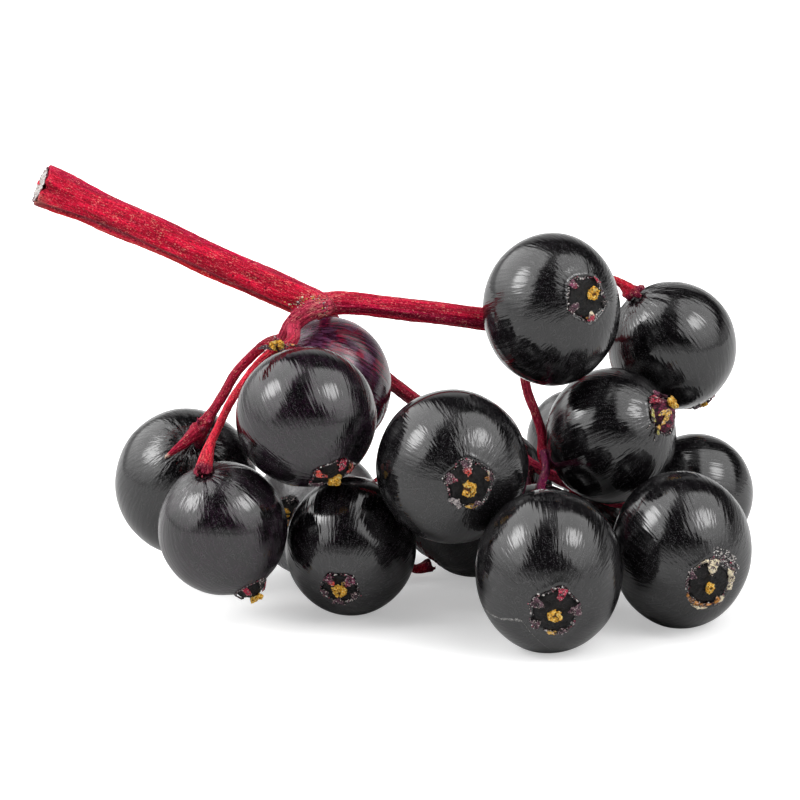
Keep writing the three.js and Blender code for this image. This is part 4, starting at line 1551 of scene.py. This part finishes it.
# The hot middles of the boxes, the ceiling and the wall behind: centre, angle and strength.
GLOWS = [
    ((-0.76, -0.10, 0.64), 16, 6.5), ((0.60, -0.32, 0.73), 15, 5.5),
    ((0.0, 0.0, 1.0), 25, 0.3), ((0.0, 1.0, 0.3), 28, 0.5),
]
BOX_EDGE = 0.07               # how soft the edge of a box is, as the sine of an angle
BOXES = [(LEFT_BOX, 2.2), (RIGHT_BOX, 1.8)]
LOW_LIGHT = 0.55              # what the spray sees near the horizon
HIGH_LIGHT = 0.012            # and above it


def box_mask(maker, direction, corners):
    """1 where a direction is inside a box, with soft edges."""
    corners = [Vector(corner).normalized() for corner in corners]
    middle = sum(corners, Vector())
    mask = 1.0
    for number, corner in enumerate(corners):
        edge = corner.cross(corners[(number + 1) % len(corners)]).normalized()
        if edge.dot(middle) < 0:
            edge = -edge
        side = maker.add("ShaderNodeVectorMath", operation="DOT_PRODUCT")
        maker.link(direction, side.inputs[0])
        side.inputs[1].default_value = edge
        mask = maker.times(maker.ramp(side.outputs["Value"], -BOX_EDGE, BOX_EDGE), mask)
    return mask


def glow_mask(maker, direction, centre, angle):
    """A round glow, 1 at its centre and 0 at that many degrees from it."""
    side = maker.add("ShaderNodeVectorMath", operation="DOT_PRODUCT")
    maker.link(direction, side.inputs[0])
    side.inputs[1].default_value = Vector(centre).normalized()
    edge, hot = math.cos(math.radians(angle)), math.cos(math.radians(angle / 4))
    return maker.ramp(side.outputs["Value"], edge, hot)


def build_world():
    """A studio: white to the camera. To the spray it is white low down and dark above, with
    two soft boxes that each have a hot middle."""
    world = bpy.data.worlds.new("studio")
    bpy.context.scene.world = world
    world.use_nodes = True
    maker = Maker(world.node_tree)
    background = world.node_tree.nodes["Background"]
    direction = maker.add("ShaderNodeTexCoord").outputs["Generated"]
    split = maker.add("ShaderNodeSeparateXYZ")
    maker.link(direction, split.inputs[0])
    low, high = math.sin(math.radians(6)), math.sin(math.radians(18))
    light = maker.ramp(split.outputs[2], low, high, LOW_LIGHT, HIGH_LIGHT)
    fading = maker.ramp(split.outputs[2], 0.0, 0.45, 0.2, 1.0)
    for corners, strength in BOXES:
        box = maker.times(box_mask(maker, direction, corners), fading)
        light = maker.math("ADD", light, maker.times(box, strength))
    for centre, angle, strength in GLOWS:
        glow = maker.times(glow_mask(maker, direction, centre, angle), strength)
        light = maker.math("ADD", light, glow)
    path = maker.add("ShaderNodeLightPath")
    shown = maker.add("ShaderNodeMix")
    maker.link(path.outputs["Is Camera Ray"], shown.inputs[0])
    maker.link(light, shown.inputs[2])
    shown.inputs[3].default_value = 1.0
    background.inputs["Color"].default_value = (1, 1, 1, 1)
    maker.link(shown.outputs[0], background.inputs["Strength"])


CAMERA_DISTANCE = 250 * MM
CAMERA_ELEVATION = math.radians(14)
VIEW_WIDTH = 36.36 * MM       # what the camera takes in at its target
TARGET_FROM_MIDDLE = Vector((0.203, -2.118, -0.096)) * MM


def build_camera():
    """A long lens, a little above the surface."""
    middle = (CAD_BOX[0] + CAD_BOX[1]) / 2
    target = middle + TARGET_FROM_MIDDLE
    back = Vector((0, -math.cos(CAMERA_ELEVATION), math.sin(CAMERA_ELEVATION)))
    data = bpy.data.cameras.new("camera")
    data.sensor_width = 36
    data.lens = data.sensor_width * CAMERA_DISTANCE / VIEW_WIDTH
    data.clip_start = 0.01
    data.clip_end = 20
    camera = bpy.data.objects.new("camera", data)
    camera.location = target + back * CAMERA_DISTANCE
    camera.rotation_euler = back.to_track_quat("Z", "Y").to_euler()
    bpy.context.scene.collection.objects.link(camera)
    bpy.context.scene.camera = camera


# ---- the spray -----------------------------------------------------------------------------
build_camera()
build_floor()
build_world()
bpy.context.scene.view_settings.view_transform = "Standard"

BERRIES = [Berry(number + 1) for number in range(BERRY_COUNT)]
FLOWER = Flower("flower_stalk", "withered_flower")
SKIN, DISC, TISSUE, STIGMA = skin_material(), disc_material(), sepal_material(), stigma_material()
STALKS = build_stalks(BERRIES, FLOWER, TISSUE)
build_pith(STALKS[0])
for berry in BERRIES:
    build_skin(berry, SKIN)
    build_disc(berry, DISC)
    build_sepals(berry, TISSUE)
    build_stigma(berry, STIGMA)
build_sepals(FLOWER, TISSUE)
build_stigma(FLOWER, STIGMA, [FLOWER.label])
